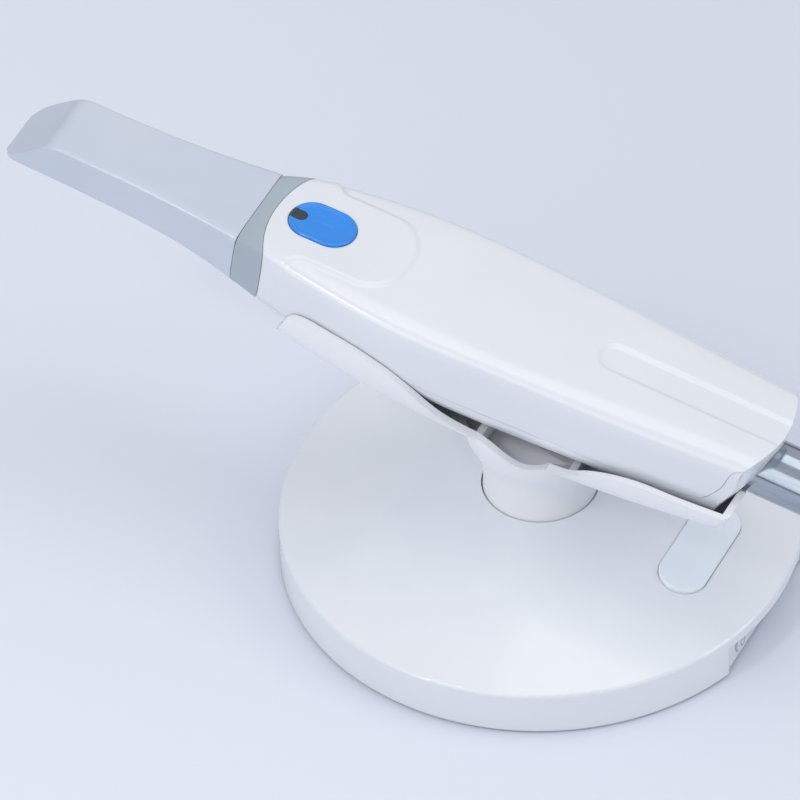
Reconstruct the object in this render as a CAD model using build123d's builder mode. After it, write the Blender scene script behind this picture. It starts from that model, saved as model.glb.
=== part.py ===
from build123d import *
import os
from math import atan, cos, degrees, radians, sin, sqrt, tan

# An intraoral scanner lying in the cradle of its round base station.
# Lengths are millimetres and angles degrees. The origin is the centre of the base's underside,
# +X points to the rear, where the sleeve leaves the handpiece, and +Z points up.

overrun = 1.0  # how far a cut runs past the surface that it opens
reach = 120.0  # longer than any half section of the object

# Base station
base_radius = 70.0
rim_height = 13.4
rim_round = 1.0
dome_height = 24.2
dome_bulge = 0.3
cover_wall = 2.4
cover_lift = 0.8  # the wall's lower edge above the table
pad_radius = 56.0
pad_thickness = 1.6
plate_thickness = 2.0
plate_gap = 0.2
ballast_inner_radius = 24.0
ballast_outer_radius = 52.0
ballast_thickness = 6.0

# Recess at the rear of the base, with its panel
panel_place = 65.2
recess_half_width = 23.4
recess_height = 10.2
recess_wall = 2.0
board_stand_off = 3.2  # between the panel's inner face and the board behind it
panel_board_thickness = 1.6
panel_board_half_width = 20.5
panel_board_top = 11.0

power_button_radius = 3.1
power_button_side = -14.7
power_button_height = 5.2
power_button_proud = 0.7
power_button_travel = 0.8
power_flange = 0.5
power_flange_thickness = 0.8
button_clearance = 0.12
power_switch_width = 3.0
socket_height = 6.8
data_socket_side = 2.0
data_socket_width = 9.0
data_socket_tall = 3.2
data_socket_rim = 0.6
power_socket_side = 14.0
power_socket_width = 7.0
power_socket_tall = 6.0
power_socket_bore = 2.2
power_socket_pin = 0.7
socket_depth = 3.0
socket_sink = 0.1

badge_length = 34.0
badge_width = 13.4
badge_place = 46.6
badge_thickness = 1.7
badge_sink = 1.0
badge_round = 0.6
badge_gap = 0.08
badge_turn = 90.0

screw_radius = 1.5
screw_head_radius = 2.8
screw_length = 8.0
screw_boss_radius = 3.4
screw_count = 4
cover_screw_circle = 62.2
cover_screw_turn = 45.0
column_screw_circle = 9.8

# Column and cradle, one moulding
column_radius = 15.6
column_gap = 0.15
column_waist_start = 22.0
flare_top = 56.0
column_wall = 2.6
column_bore_top = 41.0
column_boss_top = 16.0
flare_floor = 46.0  # of the hollow inside the flare
cradle_wall = 2.0
rest_gap = 0.3  # between the handpiece and the cradle's walls
seat_gap = 0.05  # between the handpiece and the ribs that it lies on
rib_thickness = 2.0
notch_radius = 9.8

# Handpiece: its axis falls towards the rear
hand_slope = 9.4
hand_height = 66.0  # the axis above the table, over the middle of the base
hand_waist = 3.0  # where a section is widest, above the axis
body_front = -84.0
body_length = 156.0
body_half_width = 22.6
body_top = 16.0
body_depth = 15.4
body_crispness = 2
body_rear = 70.2
end_crown_radius = 30.0
parting_crown_radius = 33.5
collar_front = -79.6
collar_crown_radius = 32.7
collar_fit = 0.05
housing_wall = 2.0
boss_setback = 1.2  # of the sleeve's boss from the end face
end_wall = 3.3
island_rise = 0.5
island_skin = 0.06  # how much wider the raised front is than the body under it
island_half_width = 13.4
island_straight_rear = -50.0
island_rear = -39.6
island_straight_front = -64.0
island_flare_front = -69.0
island_flare_half_width = 19.6
groove_half_width = 4.4
groove_front = 16.0
groove_depth = 0.5

# Scan button and its light
button_length = 18.8
button_width = 13.2
button_place = -65.9
button_proud = 0.6
button_round = 0.5
button_travel = 0.7
button_flange = 1.0
button_flange_top = 13.5
button_flange_thickness = 0.9
button_pad_border = 2.5
button_pad_thickness = 1.0
button_stem_reach = 4.0
button_stem_radius = 2.2
light_length = 4.8
light_width = 3.6
light_depth = 1.6

# Scanning tip and the optical nose inside it
tip_nose = -155.0
tip_half_width = 14.3
tip_top = 13.3
tip_depth = 7.2
tip_wall = 1.4
tip_crispness = 3  # corner points in the section's curves, more for a sharper ridge
tip_fit = 0.1  # running gap between the tip and the optical nose
bevel_angle = 42.0
bevel_start = -141.5
bevel_crest = 11.9
nose_round = 5.5
tip_window_length = 12.0
tip_window_width = 13.4
tip_window_place = -145.6
tip_window_round = 1.5
mirror_length = 12.0
mirror_width = 15.0
mirror_thickness = 1.0
mirror_gap = 0.05
nose_tube_front = -112.0
nose_tube_wall = 1.5
nose_tube_rear = -75.5
nose_tube_plate = 1.5
light_path_half_width = 8.0
light_path_low = -2.2
light_path_high = 6.6
lens_thickness = 1.6
lens_sink = 0.6
lens_gap = 0.04

# Sleeve at the rear
sleeve_radius = 8.2
sleeve_bore = 6.4
sleeve_height = 1.6
sleeve_front = 52.5
sleeve_rear = 94.0
sleeve_edge = 0.7
sleeve_gap = 0.2
sleeve_boss_radius = 11.0
sleeve_boss_front = 56.0
nut_radius = 10.8
nut_sides = 6
nut_thickness = 3.0
bush_length = 14.0
bush_proud = 0.6
bush_bore = 2.6
bush_inlet_depth = 3.4

# Inside the handpiece
frame_half_width = 10.0
frame_front = -75.5
frame_rear = 44.0
frame_floor = -2.5
frame_thickness = 2.0
frame_cheek = 1.6
frame_rib_places = (-58.0, -12.0, 28.0)
board_thickness = 1.2
board_top = 8.4
board_front = -74.0
board_rear = 38.0
board_half_width = 9.6
module_front = -44.0
module_side = 4.2
module_width = 7.4
module_height = 8.6
camera_length = 26.0
projector_length = 34.0
barrel_radius = 3.2
barrel_length = 8.0
barrel_bore = 2.2
barrel_bore_depth = 1.5
sink_front = -4.0
sink_length = 30.0
sink_height = 8.0
sink_base = 1.6
sink_half_width = 8.0
fin_count = 6
fin_thickness = 1.2
switch_width = 6.0
switch_height = 2.6
plunger_radius = 1.6
plunger_height = 0.4
housing_screw_places = (-46.0, 34.0)
housing_screw_side = 13.5
housing_screw_radius = 1.1
housing_screw_head = 2.1
housing_screw_head_height = 1.4
housing_screw_seat = -8.0
housing_screw_top = 4.0
housing_boss_radius = 2.6
counterbore_gap = 0.15

# Shares of the body's sizes along its length: place, half width, top, depth, and how strongly the
# section's upper and lower corners are pulled outwards.
body_shares = (
    (0.000, 0.640, 0.815, 0.465, 0.62, 0.81),
    (0.030, 0.695, 0.905, 0.500, 0.62, 0.78),
    (0.070, 0.770, 0.970, 0.580, 0.62, 0.75),
    (0.135, 0.860, 0.998, 0.745, 0.63, 0.71),
    (0.220, 0.945, 1.000, 0.900, 0.69, 0.69),
    (0.330, 1.000, 1.000, 0.978, 0.70, 0.66),
    (0.460, 0.980, 1.000, 1.000, 0.73, 0.66),
    (0.590, 0.940, 1.000, 0.955, 0.70, 0.66),
    (0.720, 0.895, 1.000, 0.900, 0.60, 0.66),
    (0.850, 0.835, 1.000, 0.820, 0.53, 0.66),
    (1.000, 0.740, 0.995, 0.700, 0.60, 0.66),
)
# The same for the tip, from its mouth to past its nose.
tip_shares = (
    (0.000, 1.000, 1.000, 1.00, 0.60, 0.81),
    (0.065, 0.955, 0.985, 0.78, 0.66, 0.84),
    (0.150, 0.900, 0.965, 0.54, 0.72, 0.89),
    (0.290, 0.830, 0.940, 0.30, 0.78, 0.95),
    (0.500, 0.765, 0.918, 0.20, 0.84, 0.98),
    (0.750, 0.740, 0.908, 0.12, 0.88, 1.00),
    (1.000, 0.735, 0.925, 0.10, 0.88, 1.00),
    (1.030, 0.735, 0.925, 0.10, 0.88, 1.00),
)
# The rear end in side view: heights as shares of the body's top, places as shares of its rear,
# and shares of the crown's radius.
end_shares = (
    (-1.150, 0.712, 1.50),
    (-0.730, 0.812, 1.50),
    (-0.225, 0.899, 1.50),
    (0.156, 0.940, 1.50),
    (0.500, 0.9715, 1.43),
    (0.750, 0.990, 1.13),
    (1.000, 1.000, 1.00),
    (1.200, 1.004, 1.00),
)
# The line on which the housings part: it runs along the side and turns up before the rear end.
parting_shares = (
    (-0.122, 0.740, 1.00),
    (-0.081, 0.833, 1.00),
    (-0.038, 0.863, 1.00),
    (0.100, 0.897, 1.00),
    (0.250, 0.920, 1.00),
    (0.525, 0.947, 1.00),
    (0.844, 0.973, 1.00),
    (1.200, 0.987, 1.00),
)
# The trough under the body: place, half width and depth.
trough_front = -72.0
trough_length = 137.2
trough_half_width = 24.6
trough_depth = 20.8
trough_top = 12.0
trough_waist = 4.0
trough_pull = 0.66
trough_corner = 2.5
trough_end = 65.6  # where the rear wall stands, on the handpiece's axis
trough_lean = 15.0
trough_shares = (
    (0.000, 0.815, 0.760),
    (0.120, 0.940, 0.865),
    (0.235, 0.995, 0.965),
    (0.415, 1.000, 1.090),
    (0.560, 1.000, 1.080),
    (0.700, 0.985, 1.000),
    (0.850, 0.945, 0.860),
    (1.000, 0.895, 0.650),
    (1.030, 0.883, 0.610),
)
# The trough's rim in side view: places as shares of the trough's length, heights as shares of
# its depth above the handpiece's axis. Front end with its wing, dip over the column, rear wing.
rim_front_shares = (
    (0.0300, -0.480),
    (0.0466, -0.202),
    (0.0669, 0.070),
    (0.0893, 0.139),
    (0.1351, 0.163),
    (0.2031, 0.142),
    (0.2536, 0.090),
    (0.3039, -0.024),
    (0.3540, -0.235),
    (0.4080, -0.462),
    (0.4480, -0.538),
)
rim_dip_shares = (
    (0.4480, -0.538),
    (0.4874, -0.563),
    (0.5115, -0.572),
    (0.5344, -0.635),
    (0.5554, -0.713),
    (0.5750, -0.770),
    (0.5936, -0.775),
    (0.6111, -0.731),
    (0.6283, -0.555),
)
rim_rear_shares = (
    (0.6283, -0.555),
    (0.6603, -0.524),
    (0.6999, -0.309),
    (0.7409, -0.152),
    (0.7816, -0.072),
    (0.8122, -0.039),
    (0.8740, -0.041),
    (0.9355, -0.036),
    (1.0500, 0.000),
)
# Ribs that the handpiece lies on: place, and the height of the rib's top.
rib_shares = ((0.475, -0.662), (0.670, -0.630), (0.860, -0.440))
# The column's flare: radius as a share of the column's, height as a share from waist to top.
flare_shares = (
    (1.000, 0.000),
    (0.980, 0.250),
    (1.058, 0.441),
    (1.212, 0.603),
    (1.333, 0.765),
    (1.410, 0.876),
    (1.449, 1.000),
)

hand = Plane(
    origin=(0, 0, hand_height),
    x_dir=(cos(radians(hand_slope)), 0, -sin(radians(hand_slope))),
    z_dir=(sin(radians(hand_slope)), 0, cos(radians(hand_slope))),
)
upward = Axis((0, 0, 0), hand.z_dir)
rearward = Axis((0, 0, 0), hand.x_dir)
tip_length = body_front - tip_nose
trough_rear = trough_front + trough_length
plate_top = pad_thickness + plate_thickness
panel_inner = panel_place - recess_wall
panel_board_front = panel_inner - board_stand_off
cover_slope = degrees(atan((dome_height - rim_height) / (base_radius - column_radius)))
switch_top = board_top + switch_height + plunger_height
flange_relief = panel_board_front + overrun

os.makedirs("parts", exist_ok=True)


def across(place, height=0.0, side=0.0):
    # a plane across the handpiece: its own X runs to +Y and its own Y upwards
    spot = hand.from_local_coords((place, side, height))
    return Plane(origin=spot, x_dir=(0, 1, 0), z_dir=hand.x_dir)


def beside():
    # the handpiece's middle plane, seen from -Y
    return Plane(origin=hand.origin, x_dir=hand.x_dir, z_dir=(0, -1, 0))


def facing_rear(place, side, height):
    # a plane in the base station that faces the rear
    return Plane(origin=(place, side, height), x_dir=(0, 1, 0), z_dir=(1, 0, 0))


def section(half_width, top, depth, top_pull, bottom_pull, waist=hand_waist, crispness=0):
    # a squared oval in four curves; corner points make ridges of its upper corners
    with BuildSketch() as face:
        with BuildLine():
            for edge in (half_width, -half_width):
                Bezier(
                    (edge, waist),
                    (edge, waist + top_pull * (top - waist)),
                    *[(edge, top)] * crispness,
                    (top_pull * edge, top),
                    (0, top),
                )
                Bezier(
                    (edge, waist),
                    (edge, waist - bottom_pull * (depth + waist)),
                    (bottom_pull * edge, -depth),
                    (0, -depth),
                )
        make_face()
    return face.sketch


def lofted(stations):
    # a smooth form through faces across the handpiece, each with its place
    with BuildPart() as form:
        for place, face in stations:
            with BuildSketch(across(place)):
                add(face)
        loft()
    return form.part


def body_form(inset, rise=0.0):
    stations = []
    for place, width, top, depth, top_pull, bottom_pull in body_shares:
        face = section(
            width * body_half_width - inset,
            top * body_top + rise - inset,
            depth * body_depth - inset,
            top_pull,
            bottom_pull,
            crispness=body_crispness,
        )
        stations.append((body_front + place * body_length, face))
    return lofted(stations)


def tip_section(shares, inset):
    width, top, depth, top_pull, bottom_pull = shares
    return section(
        width * tip_half_width - inset,
        top * tip_top - inset,
        depth * tip_depth - inset,
        top_pull,
        bottom_pull,
        crispness=tip_crispness,
    )


def tip_form(inset):
    stations = []
    for place, *shares in tip_shares:
        stations.append((body_front - place * tip_length, tip_section(shares, inset)))
    return lofted(stations)


def trough_form(inset):
    stations = []
    for place, width, depth in trough_shares:
        face = section(
            width * trough_half_width - inset,
            trough_top + inset,
            depth * trough_depth - inset,
            trough_pull,
            trough_pull,
            trough_waist,
        )
        stations.append((trough_front + place * trough_length, face))
    return lofted(stations)


def sag(radius, half_chord):
    return radius - sqrt(radius**2 - half_chord**2)


def crowned_block(shares, radius, back=0.0):
    # a block that ends in a face crowned in plan and curved in side view
    half = body_half_width + overrun
    with BuildPart() as block:
        for height_share, place_share, crown_share in shares:
            end = place_share * body_rear - back
            drop = sag(crown_share * radius, half)
            with BuildSketch(hand.offset(height_share * body_top)):
                with BuildLine():
                    ThreePointArc((end - drop, -half), (end, 0), (end - drop, half))
                    Polyline(
                        (end - drop, half),
                        (body_front - overrun, half),
                        (body_front - overrun, -half),
                        (end - drop, -half),
                    )
                make_face()
        loft()
    return block.part


# Solids that several pieces are cut from

# The collar's space: everything in front of the housings' crowned front edge
collar_side = body_half_width + overrun
collar_edge = collar_front + sag(collar_crown_radius, collar_side)
with BuildPart() as collar_space:
    with BuildSketch(hand):
        with BuildLine():
            ThreePointArc((collar_edge, -collar_side), (collar_front, 0), (collar_edge, collar_side))
            Polyline(
                (collar_edge, collar_side),
                (body_front - overrun, collar_side),
                (body_front - overrun, -collar_side),
                (collar_edge, -collar_side),
            )
        make_face()
    extrude(amount=reach, both=True)

# The island's outline, flared in front until it takes in the whole width
with BuildPart() as island_space:
    with BuildSketch(hand.offset(parting_shares[0][0] * body_top)):
        with BuildLine():
            rear_end = Spline(
                (island_straight_rear, island_half_width),
                (island_rear, 0),
                (island_straight_rear, -island_half_width),
                tangents=((1, 0), (-1, 0)),
            )
            near_side = Line(rear_end @ 1, (island_straight_front, -island_half_width))
            near_flare = Spline(
                near_side @ 1,
                (island_flare_front, -island_flare_half_width),
                tangents=((-1, 0), (0, -1)),
            )
            far_side = Line(rear_end @ 0, (island_straight_front, island_half_width))
            far_flare = Spline(
                far_side @ 1,
                (island_flare_front, island_flare_half_width),
                tangents=((-1, 0), (0, 1)),
            )
            Polyline(
                near_flare @ 1,
                (island_flare_front, -body_half_width - overrun),
                (body_front - overrun, -body_half_width - overrun),
                (body_front - overrun, body_half_width + overrun),
                (island_flare_front, body_half_width + overrun),
                far_flare @ 1,
            )
        make_face()
    extrude(amount=reach)

with BuildPart() as island:
    add(body_form(-island_skin, island_rise))
    add(island_space.part, mode=Mode.INTERSECT)

# The whole body outside, with the island, the rear end and the thumb groove
with BuildPart() as body:
    add(body_form(0))
    add(island.part)
    add(crowned_block(end_shares, end_crown_radius), mode=Mode.INTERSECT)
    with BuildSketch(hand.offset(body_top - groove_depth)):
        with BuildLine():
            nose = ThreePointArc(
                (groove_front + groove_half_width, groove_half_width),
                (groove_front, 0),
                (groove_front + groove_half_width, -groove_half_width),
            )
            Polyline(
                nose @ 1,
                (reach, -groove_half_width),
                (reach, groove_half_width),
                nose @ 0,
            )
        make_face()
    extrude(amount=body_top, mode=Mode.SUBTRACT)

with BuildPart() as cavity:
    add(body_form(housing_wall))
    add(
        crowned_block(end_shares, end_crown_radius - end_wall, end_wall),
        mode=Mode.INTERSECT,
    )

upper_space = crowned_block(parting_shares, parting_crown_radius)

with BuildPart() as shell:
    add(body.part)
    add(cavity.part, mode=Mode.SUBTRACT)
    add(collar_space.part, mode=Mode.SUBTRACT)

# Bosses and pads stay inside this form
inner_limit = body_form(housing_wall / 2)

nose_inset = tip_wall + tip_fit
bore_inset = nose_inset + nose_tube_wall


def mouth_section(inset):
    # the tip's outline at its mouth, moved in by the inset
    return tip_section(tip_shares[0][1:], inset)


# Handpiece: collar
with BuildPart() as front_ring:
    add(body.part)
    add(collar_space.part, mode=Mode.INTERSECT)
    with BuildSketch(across(body_front - overrun)):
        add(mouth_section(nose_inset - collar_fit))
    extrude(amount=reach, mode=Mode.SUBTRACT)
front_ring.part.label = "front_ring"
export_step(front_ring.part, "parts/front_ring.step")

# Handpiece: top housing with screw bosses and the pad round the button
with BuildPart() as top_bosses:
    with BuildSketch(hand.offset(parting_shares[0][0] * body_top)):
        for place in housing_screw_places:
            with Locations((place, housing_screw_side), (place, -housing_screw_side)):
                Circle(housing_boss_radius)
    extrude(amount=body_top)

with BuildPart() as top_cavity:
    add(cavity.part)
    add(top_bosses.part, mode=Mode.SUBTRACT)

with BuildPart() as top_housing:
    add(body.part)
    add(top_cavity.part, mode=Mode.SUBTRACT)
    add(collar_space.part, mode=Mode.SUBTRACT)
    add(upper_space, mode=Mode.INTERSECT)
    button_seat = hand.offset(button_flange_top + seat_gap)
    with BuildSketch(button_seat):
        with Locations((button_place, 0)):
            SlotOverall(button_length + 2 * button_pad_border, button_width + 2 * button_pad_border)
    extrude(amount=button_pad_thickness)
    flange_space = 2 * (button_flange + button_clearance)
    with BuildSketch(button_seat):
        with Locations((button_place, 0)):
            SlotOverall(button_length + flange_space, button_width + flange_space)
    extrude(amount=-button_stem_reach, mode=Mode.SUBTRACT)
    add(collar_space.part, mode=Mode.SUBTRACT)
    with BuildSketch(hand.offset(button_flange_top)):
        with Locations((button_place, 0)):
            SlotOverall(button_length + 2 * button_clearance, button_width + 2 * button_clearance)
    extrude(amount=body_top, mode=Mode.SUBTRACT)
    with BuildSketch(hand.offset(parting_shares[0][0] * body_top)):
        for place in housing_screw_places:
            with Locations((place, housing_screw_side), (place, -housing_screw_side)):
                Circle(housing_screw_radius)
    extrude(amount=housing_screw_top - parting_shares[0][0] * body_top, mode=Mode.SUBTRACT)
    with BuildSketch(across(sleeve_boss_front, sleeve_height)):
        Circle(sleeve_boss_radius + sleeve_gap)
    extrude(amount=body_rear, mode=Mode.SUBTRACT)
top_housing.part.label = "top_housing"
export_step(top_housing.part, "parts/top_housing.step")

# Handpiece: bottom housing with its end cap, screw bosses, frame ribs and sleeve boss
with BuildPart() as bottom_inside:
    with BuildSketch(hand.offset(parting_shares[0][0] * body_top)):
        for place in housing_screw_places:
            with Locations((place, housing_screw_side), (place, -housing_screw_side)):
                Circle(housing_boss_radius)
    extrude(amount=-body_depth)
    with BuildSketch(hand.offset(frame_floor - frame_thickness)):
        for place in frame_rib_places:
            with Locations((place, 0)):
                Rectangle(rib_thickness, 2 * frame_half_width)
    extrude(amount=-body_depth)
    with BuildSketch(across(sleeve_boss_front, sleeve_height)):
        Circle(sleeve_boss_radius)
    extrude(amount=body_rear - sleeve_boss_front)
    add(inner_limit, mode=Mode.INTERSECT)
    add(crowned_block(end_shares, end_crown_radius, boss_setback), mode=Mode.INTERSECT)

with BuildPart() as bottom_housing:
    add(shell.part)
    add(upper_space, mode=Mode.SUBTRACT)
    add(bottom_inside.part)
    with BuildSketch(across(sleeve_front, sleeve_height)):
        Circle(sleeve_radius + sleeve_gap)
    extrude(amount=body_rear, mode=Mode.SUBTRACT)
    with BuildSketch(hand.offset(housing_screw_seat)):
        for place in housing_screw_places:
            with Locations((place, housing_screw_side), (place, -housing_screw_side)):
                Circle(housing_screw_head + counterbore_gap)
    extrude(amount=-body_depth, mode=Mode.SUBTRACT)
    with BuildSketch(hand.offset(housing_screw_seat)):
        for place in housing_screw_places:
            with Locations((place, housing_screw_side), (place, -housing_screw_side)):
                Circle(housing_screw_radius)
    extrude(amount=body_depth, mode=Mode.SUBTRACT)
bottom_housing.part.label = "bottom_housing"
export_step(bottom_housing.part, "parts/bottom_housing.step")

with BuildPart() as housing_screws:
    with BuildSketch(hand.offset(housing_screw_seat)):
        for place in housing_screw_places:
            with Locations((place, housing_screw_side), (place, -housing_screw_side)):
                Circle(housing_screw_head)
    extrude(amount=-housing_screw_head_height)
    with BuildSketch(hand.offset(housing_screw_seat)):
        for place in housing_screw_places:
            with Locations((place, housing_screw_side), (place, -housing_screw_side)):
                Circle(housing_screw_radius)
    extrude(amount=housing_screw_top - housing_screw_seat)
housing_screws.part.label = "housing_screws"
export_step(housing_screws.part, "parts/housing_screws.step")

# Handpiece: scan button, its top following the island's curve, with the light in its front end
with BuildPart() as button_blank:
    with BuildSketch(hand.offset(button_flange_top - button_flange_thickness)):
        with Locations((button_place, 0)):
            SlotOverall(button_length, button_width)
    extrude(amount=body_top)
    add(body_form(0, island_rise + button_proud), mode=Mode.INTERSECT)
    fillet(button_blank.faces().sort_by(upward)[-1].edges(), button_round)

light_rear = button_place - button_length / 2 + light_length
with BuildPart() as light_space:
    with BuildSketch(hand.offset(body_top + island_rise + button_proud - light_depth)):
        with BuildLine():
            nose = ThreePointArc(
                (light_rear - light_width / 2, light_width / 2),
                (light_rear, 0),
                (light_rear - light_width / 2, -light_width / 2),
            )
            Polyline(
                nose @ 1,
                (body_front, -light_width / 2),
                (body_front, light_width / 2),
                nose @ 0,
            )
        make_face()
    extrude(amount=body_top)

with BuildPart() as scan_button:
    add(button_blank.part)
    with BuildSketch(hand.offset(button_flange_top)):
        with Locations((button_place, 0)):
            SlotOverall(button_length + 2 * button_flange, button_width + 2 * button_flange)
    extrude(amount=-button_flange_thickness)
    with BuildSketch(hand.offset(button_flange_top)):
        with Locations((button_place, 0)):
            Circle(button_stem_radius)
    extrude(amount=switch_top + button_travel + button_clearance - button_flange_top)
    add(light_space.part, mode=Mode.SUBTRACT)
scan_button.part.label = "scan_button"
export_step(scan_button.part, "parts/scan_button.step")

with BuildPart() as button_light:
    add(light_space.part)
    add(button_blank.part, mode=Mode.INTERSECT)
button_light.part.label = "button_light"
export_step(button_light.part, "parts/button_light.step")

# Handpiece: the scan switch on the main board
with BuildPart() as main_board:
    with BuildSketch(hand.offset(board_top)):
        with Locations(((board_front + board_rear) / 2, 0)):
            Rectangle(board_rear - board_front, 2 * board_half_width)
    extrude(amount=-board_thickness)
main_board.part.label = "main_board"
export_step(main_board.part, "parts/main_board.step")

with BuildPart() as scan_switch:
    with BuildSketch(hand.offset(board_top)):
        with Locations((button_place, 0)):
            Rectangle(switch_width, switch_width)
    extrude(amount=switch_height)
    with BuildSketch(hand.offset(board_top + switch_height)):
        with Locations((button_place, 0)):
            Circle(plunger_radius)
    extrude(amount=plunger_height)
scan_switch.part.label = "scan_switch"
export_step(scan_switch.part, "parts/scan_switch.step")

# Handpiece: optics frame, an open channel under the board
frame_length = frame_rear - frame_front
cheek_height = board_top - board_thickness - frame_floor
with BuildPart() as optics_frame:
    with BuildSketch(across(frame_front, frame_floor - frame_thickness)):
        Rectangle(
            2 * frame_half_width, frame_thickness + cheek_height, align=(Align.CENTER, Align.MIN)
        )
    extrude(amount=frame_length)
    with BuildSketch(across(frame_front, frame_floor)):
        Rectangle(2 * (frame_half_width - frame_cheek), cheek_height, align=(Align.CENTER, Align.MIN))
    extrude(amount=frame_length, mode=Mode.SUBTRACT)
optics_frame.part.label = "optics_frame"
export_step(optics_frame.part, "parts/optics_frame.step")


def module(side, length):
    # an optical module on the frame, with its barrel towards the tip
    barrel_height = frame_floor + module_height / 2
    with BuildPart() as part:
        with BuildSketch(across(module_front, frame_floor, side)):
            Rectangle(module_width, module_height, align=(Align.CENTER, Align.MIN))
        extrude(amount=length)
        with BuildSketch(across(module_front, barrel_height, side)):
            Circle(barrel_radius)
        extrude(amount=-barrel_length)
        with BuildSketch(across(module_front - barrel_length, barrel_height, side)):
            Circle(barrel_bore)
        extrude(amount=barrel_bore_depth, mode=Mode.SUBTRACT)
    return part.part


with BuildPart() as camera_module:
    add(module(-module_side, camera_length))
camera_module.part.label = "camera_module"
export_step(camera_module.part, "parts/camera_module.step")

with BuildPart() as projector_module:
    add(module(module_side, projector_length))
projector_module.part.label = "projector_module"
export_step(projector_module.part, "parts/projector_module.step")

fin_pitch = (2 * sink_half_width - fin_thickness) / (fin_count - 1)
with BuildPart() as heat_sink:
    with BuildSketch(across(sink_front, frame_floor)):
        Rectangle(2 * sink_half_width, sink_base, align=(Align.CENTER, Align.MIN))
        with Locations((0, sink_height / 2)):
            with GridLocations(fin_pitch, 0, fin_count, 1):
                Rectangle(fin_thickness, sink_height)
    extrude(amount=sink_length)
heat_sink.part.label = "heat_sink"
export_step(heat_sink.part, "parts/heat_sink.step")

# Scanning tip: crisp ridges, a bevelled nose, a window below and a flared mouth
def bevel_height(place, inset):
    # the bevel's height at a place along the tip, moved in by the inset
    fall = (bevel_start - place) * tan(radians(bevel_angle))
    return bevel_crest - inset / cos(radians(bevel_angle)) - fall


def nose_block(inset):
    # everything behind the bevel and the rounded front corners, moved in by the inset
    front = tip_nose + inset
    half = tip_half_width * tip_shares[-1][1] - inset
    with BuildPart() as block:
        with BuildSketch(beside()):
            with BuildLine():
                Polyline(
                    (front, -reach),
                    (body_front, -reach),
                    (body_front, bevel_height(body_front, inset)),
                    (front, bevel_height(front, inset)),
                    close=True,
                )
            make_face()
        extrude(amount=reach, both=True)
        with BuildSketch(hand) as plan:
            with BuildLine():
                Polyline(
                    (front, -half),
                    (body_front, -body_half_width),
                    (body_front, body_half_width),
                    (front, half),
                    close=True,
                )
            make_face()
            fillet(plan.vertices().sort_by(Axis.X)[:2], nose_round - inset)
        extrude(amount=reach, both=True, mode=Mode.INTERSECT)
    return block.part


with BuildPart() as tip_cavity:
    add(tip_form(tip_wall))
    add(nose_block(tip_wall), mode=Mode.INTERSECT)

with BuildPart() as tip_shell:
    add(tip_form(0))
    add(nose_block(0), mode=Mode.INTERSECT)
    add(tip_cavity.part, mode=Mode.SUBTRACT)
    with BuildSketch(hand.offset(tip_wall)):
        with Locations((tip_window_place, 0)):
            RectangleRounded(tip_window_length, tip_window_width, tip_window_round)
    extrude(amount=-reach, mode=Mode.SUBTRACT)
tip_shell.part.label = "tip_shell"
export_step(tip_shell.part, "parts/tip_shell.step")

mirror_middle = bevel_start - mirror_length * cos(radians(bevel_angle)) / 2
mirror_plane = Plane(
    origin=hand.from_local_coords(
        (mirror_middle, 0, bevel_height(mirror_middle, tip_wall + mirror_gap))
    ),
    x_dir=hand.x_dir * cos(radians(bevel_angle)) + hand.z_dir * sin(radians(bevel_angle)),
    z_dir=hand.z_dir * cos(radians(bevel_angle)) - hand.x_dir * sin(radians(bevel_angle)),
)
with BuildPart() as tip_mirror:
    with BuildSketch(mirror_plane):
        RectangleRounded(mirror_length, mirror_width, tip_window_round)
    extrude(amount=-mirror_thickness)
tip_mirror.part.label = "tip_mirror"
export_step(tip_mirror.part, "parts/tip_mirror.step")

# Optical nose: a tube that follows the tip's inside and goes on through the collar
with BuildPart() as nose_tube:
    with BuildSketch(across(nose_tube_front)):
        Rectangle(reach, reach)
    extrude(amount=body_front - nose_tube_front)
    add(tip_form(nose_inset), mode=Mode.INTERSECT)
    add(tip_form(bore_inset), mode=Mode.SUBTRACT)
    with BuildSketch(across(body_front)):
        add(mouth_section(nose_inset))
    extrude(amount=nose_tube_rear - body_front)
    with BuildSketch(across(body_front)):
        add(mouth_section(bore_inset))
    extrude(amount=nose_tube_rear - nose_tube_plate - body_front, mode=Mode.SUBTRACT)
    with BuildSketch(across(body_front, light_path_low)):
        Rectangle(
            2 * light_path_half_width,
            light_path_high - light_path_low,
            align=(Align.CENTER, Align.MIN),
        )
    extrude(amount=nose_tube_rear - body_front, mode=Mode.SUBTRACT)
nose_tube.part.label = "nose_tube"
export_step(nose_tube.part, "parts/nose_tube.step")

with BuildPart() as lens_window:
    with BuildSketch(across(nose_tube_front + lens_sink)):
        Rectangle(reach, reach)
    extrude(amount=lens_thickness)
    add(tip_form(bore_inset + lens_gap), mode=Mode.INTERSECT)
lens_window.part.label = "lens_window"
export_step(lens_window.part, "parts/lens_window.step")

# Handpiece: sleeve with its nut and the rubber bush that takes the cord
with BuildPart() as cable_sleeve:
    with BuildSketch(across(sleeve_front, sleeve_height)):
        Circle(sleeve_radius)
    extrude(amount=sleeve_rear - sleeve_front)
    fillet(cable_sleeve.faces().sort_by(rearward)[-1].edges(), sleeve_edge)
    with BuildSketch(across(sleeve_front, sleeve_height)):
        Circle(sleeve_bore)
    extrude(amount=sleeve_rear - sleeve_front, mode=Mode.SUBTRACT)
cable_sleeve.part.label = "cable_sleeve"
export_step(cable_sleeve.part, "parts/cable_sleeve.step")

with BuildPart() as sleeve_nut:
    with BuildSketch(across(sleeve_boss_front, sleeve_height)):
        RegularPolygon(nut_radius, nut_sides)
        Circle(sleeve_radius, mode=Mode.SUBTRACT)
    extrude(amount=-nut_thickness)
sleeve_nut.part.label = "sleeve_nut"
export_step(sleeve_nut.part, "parts/sleeve_nut.step")

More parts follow.
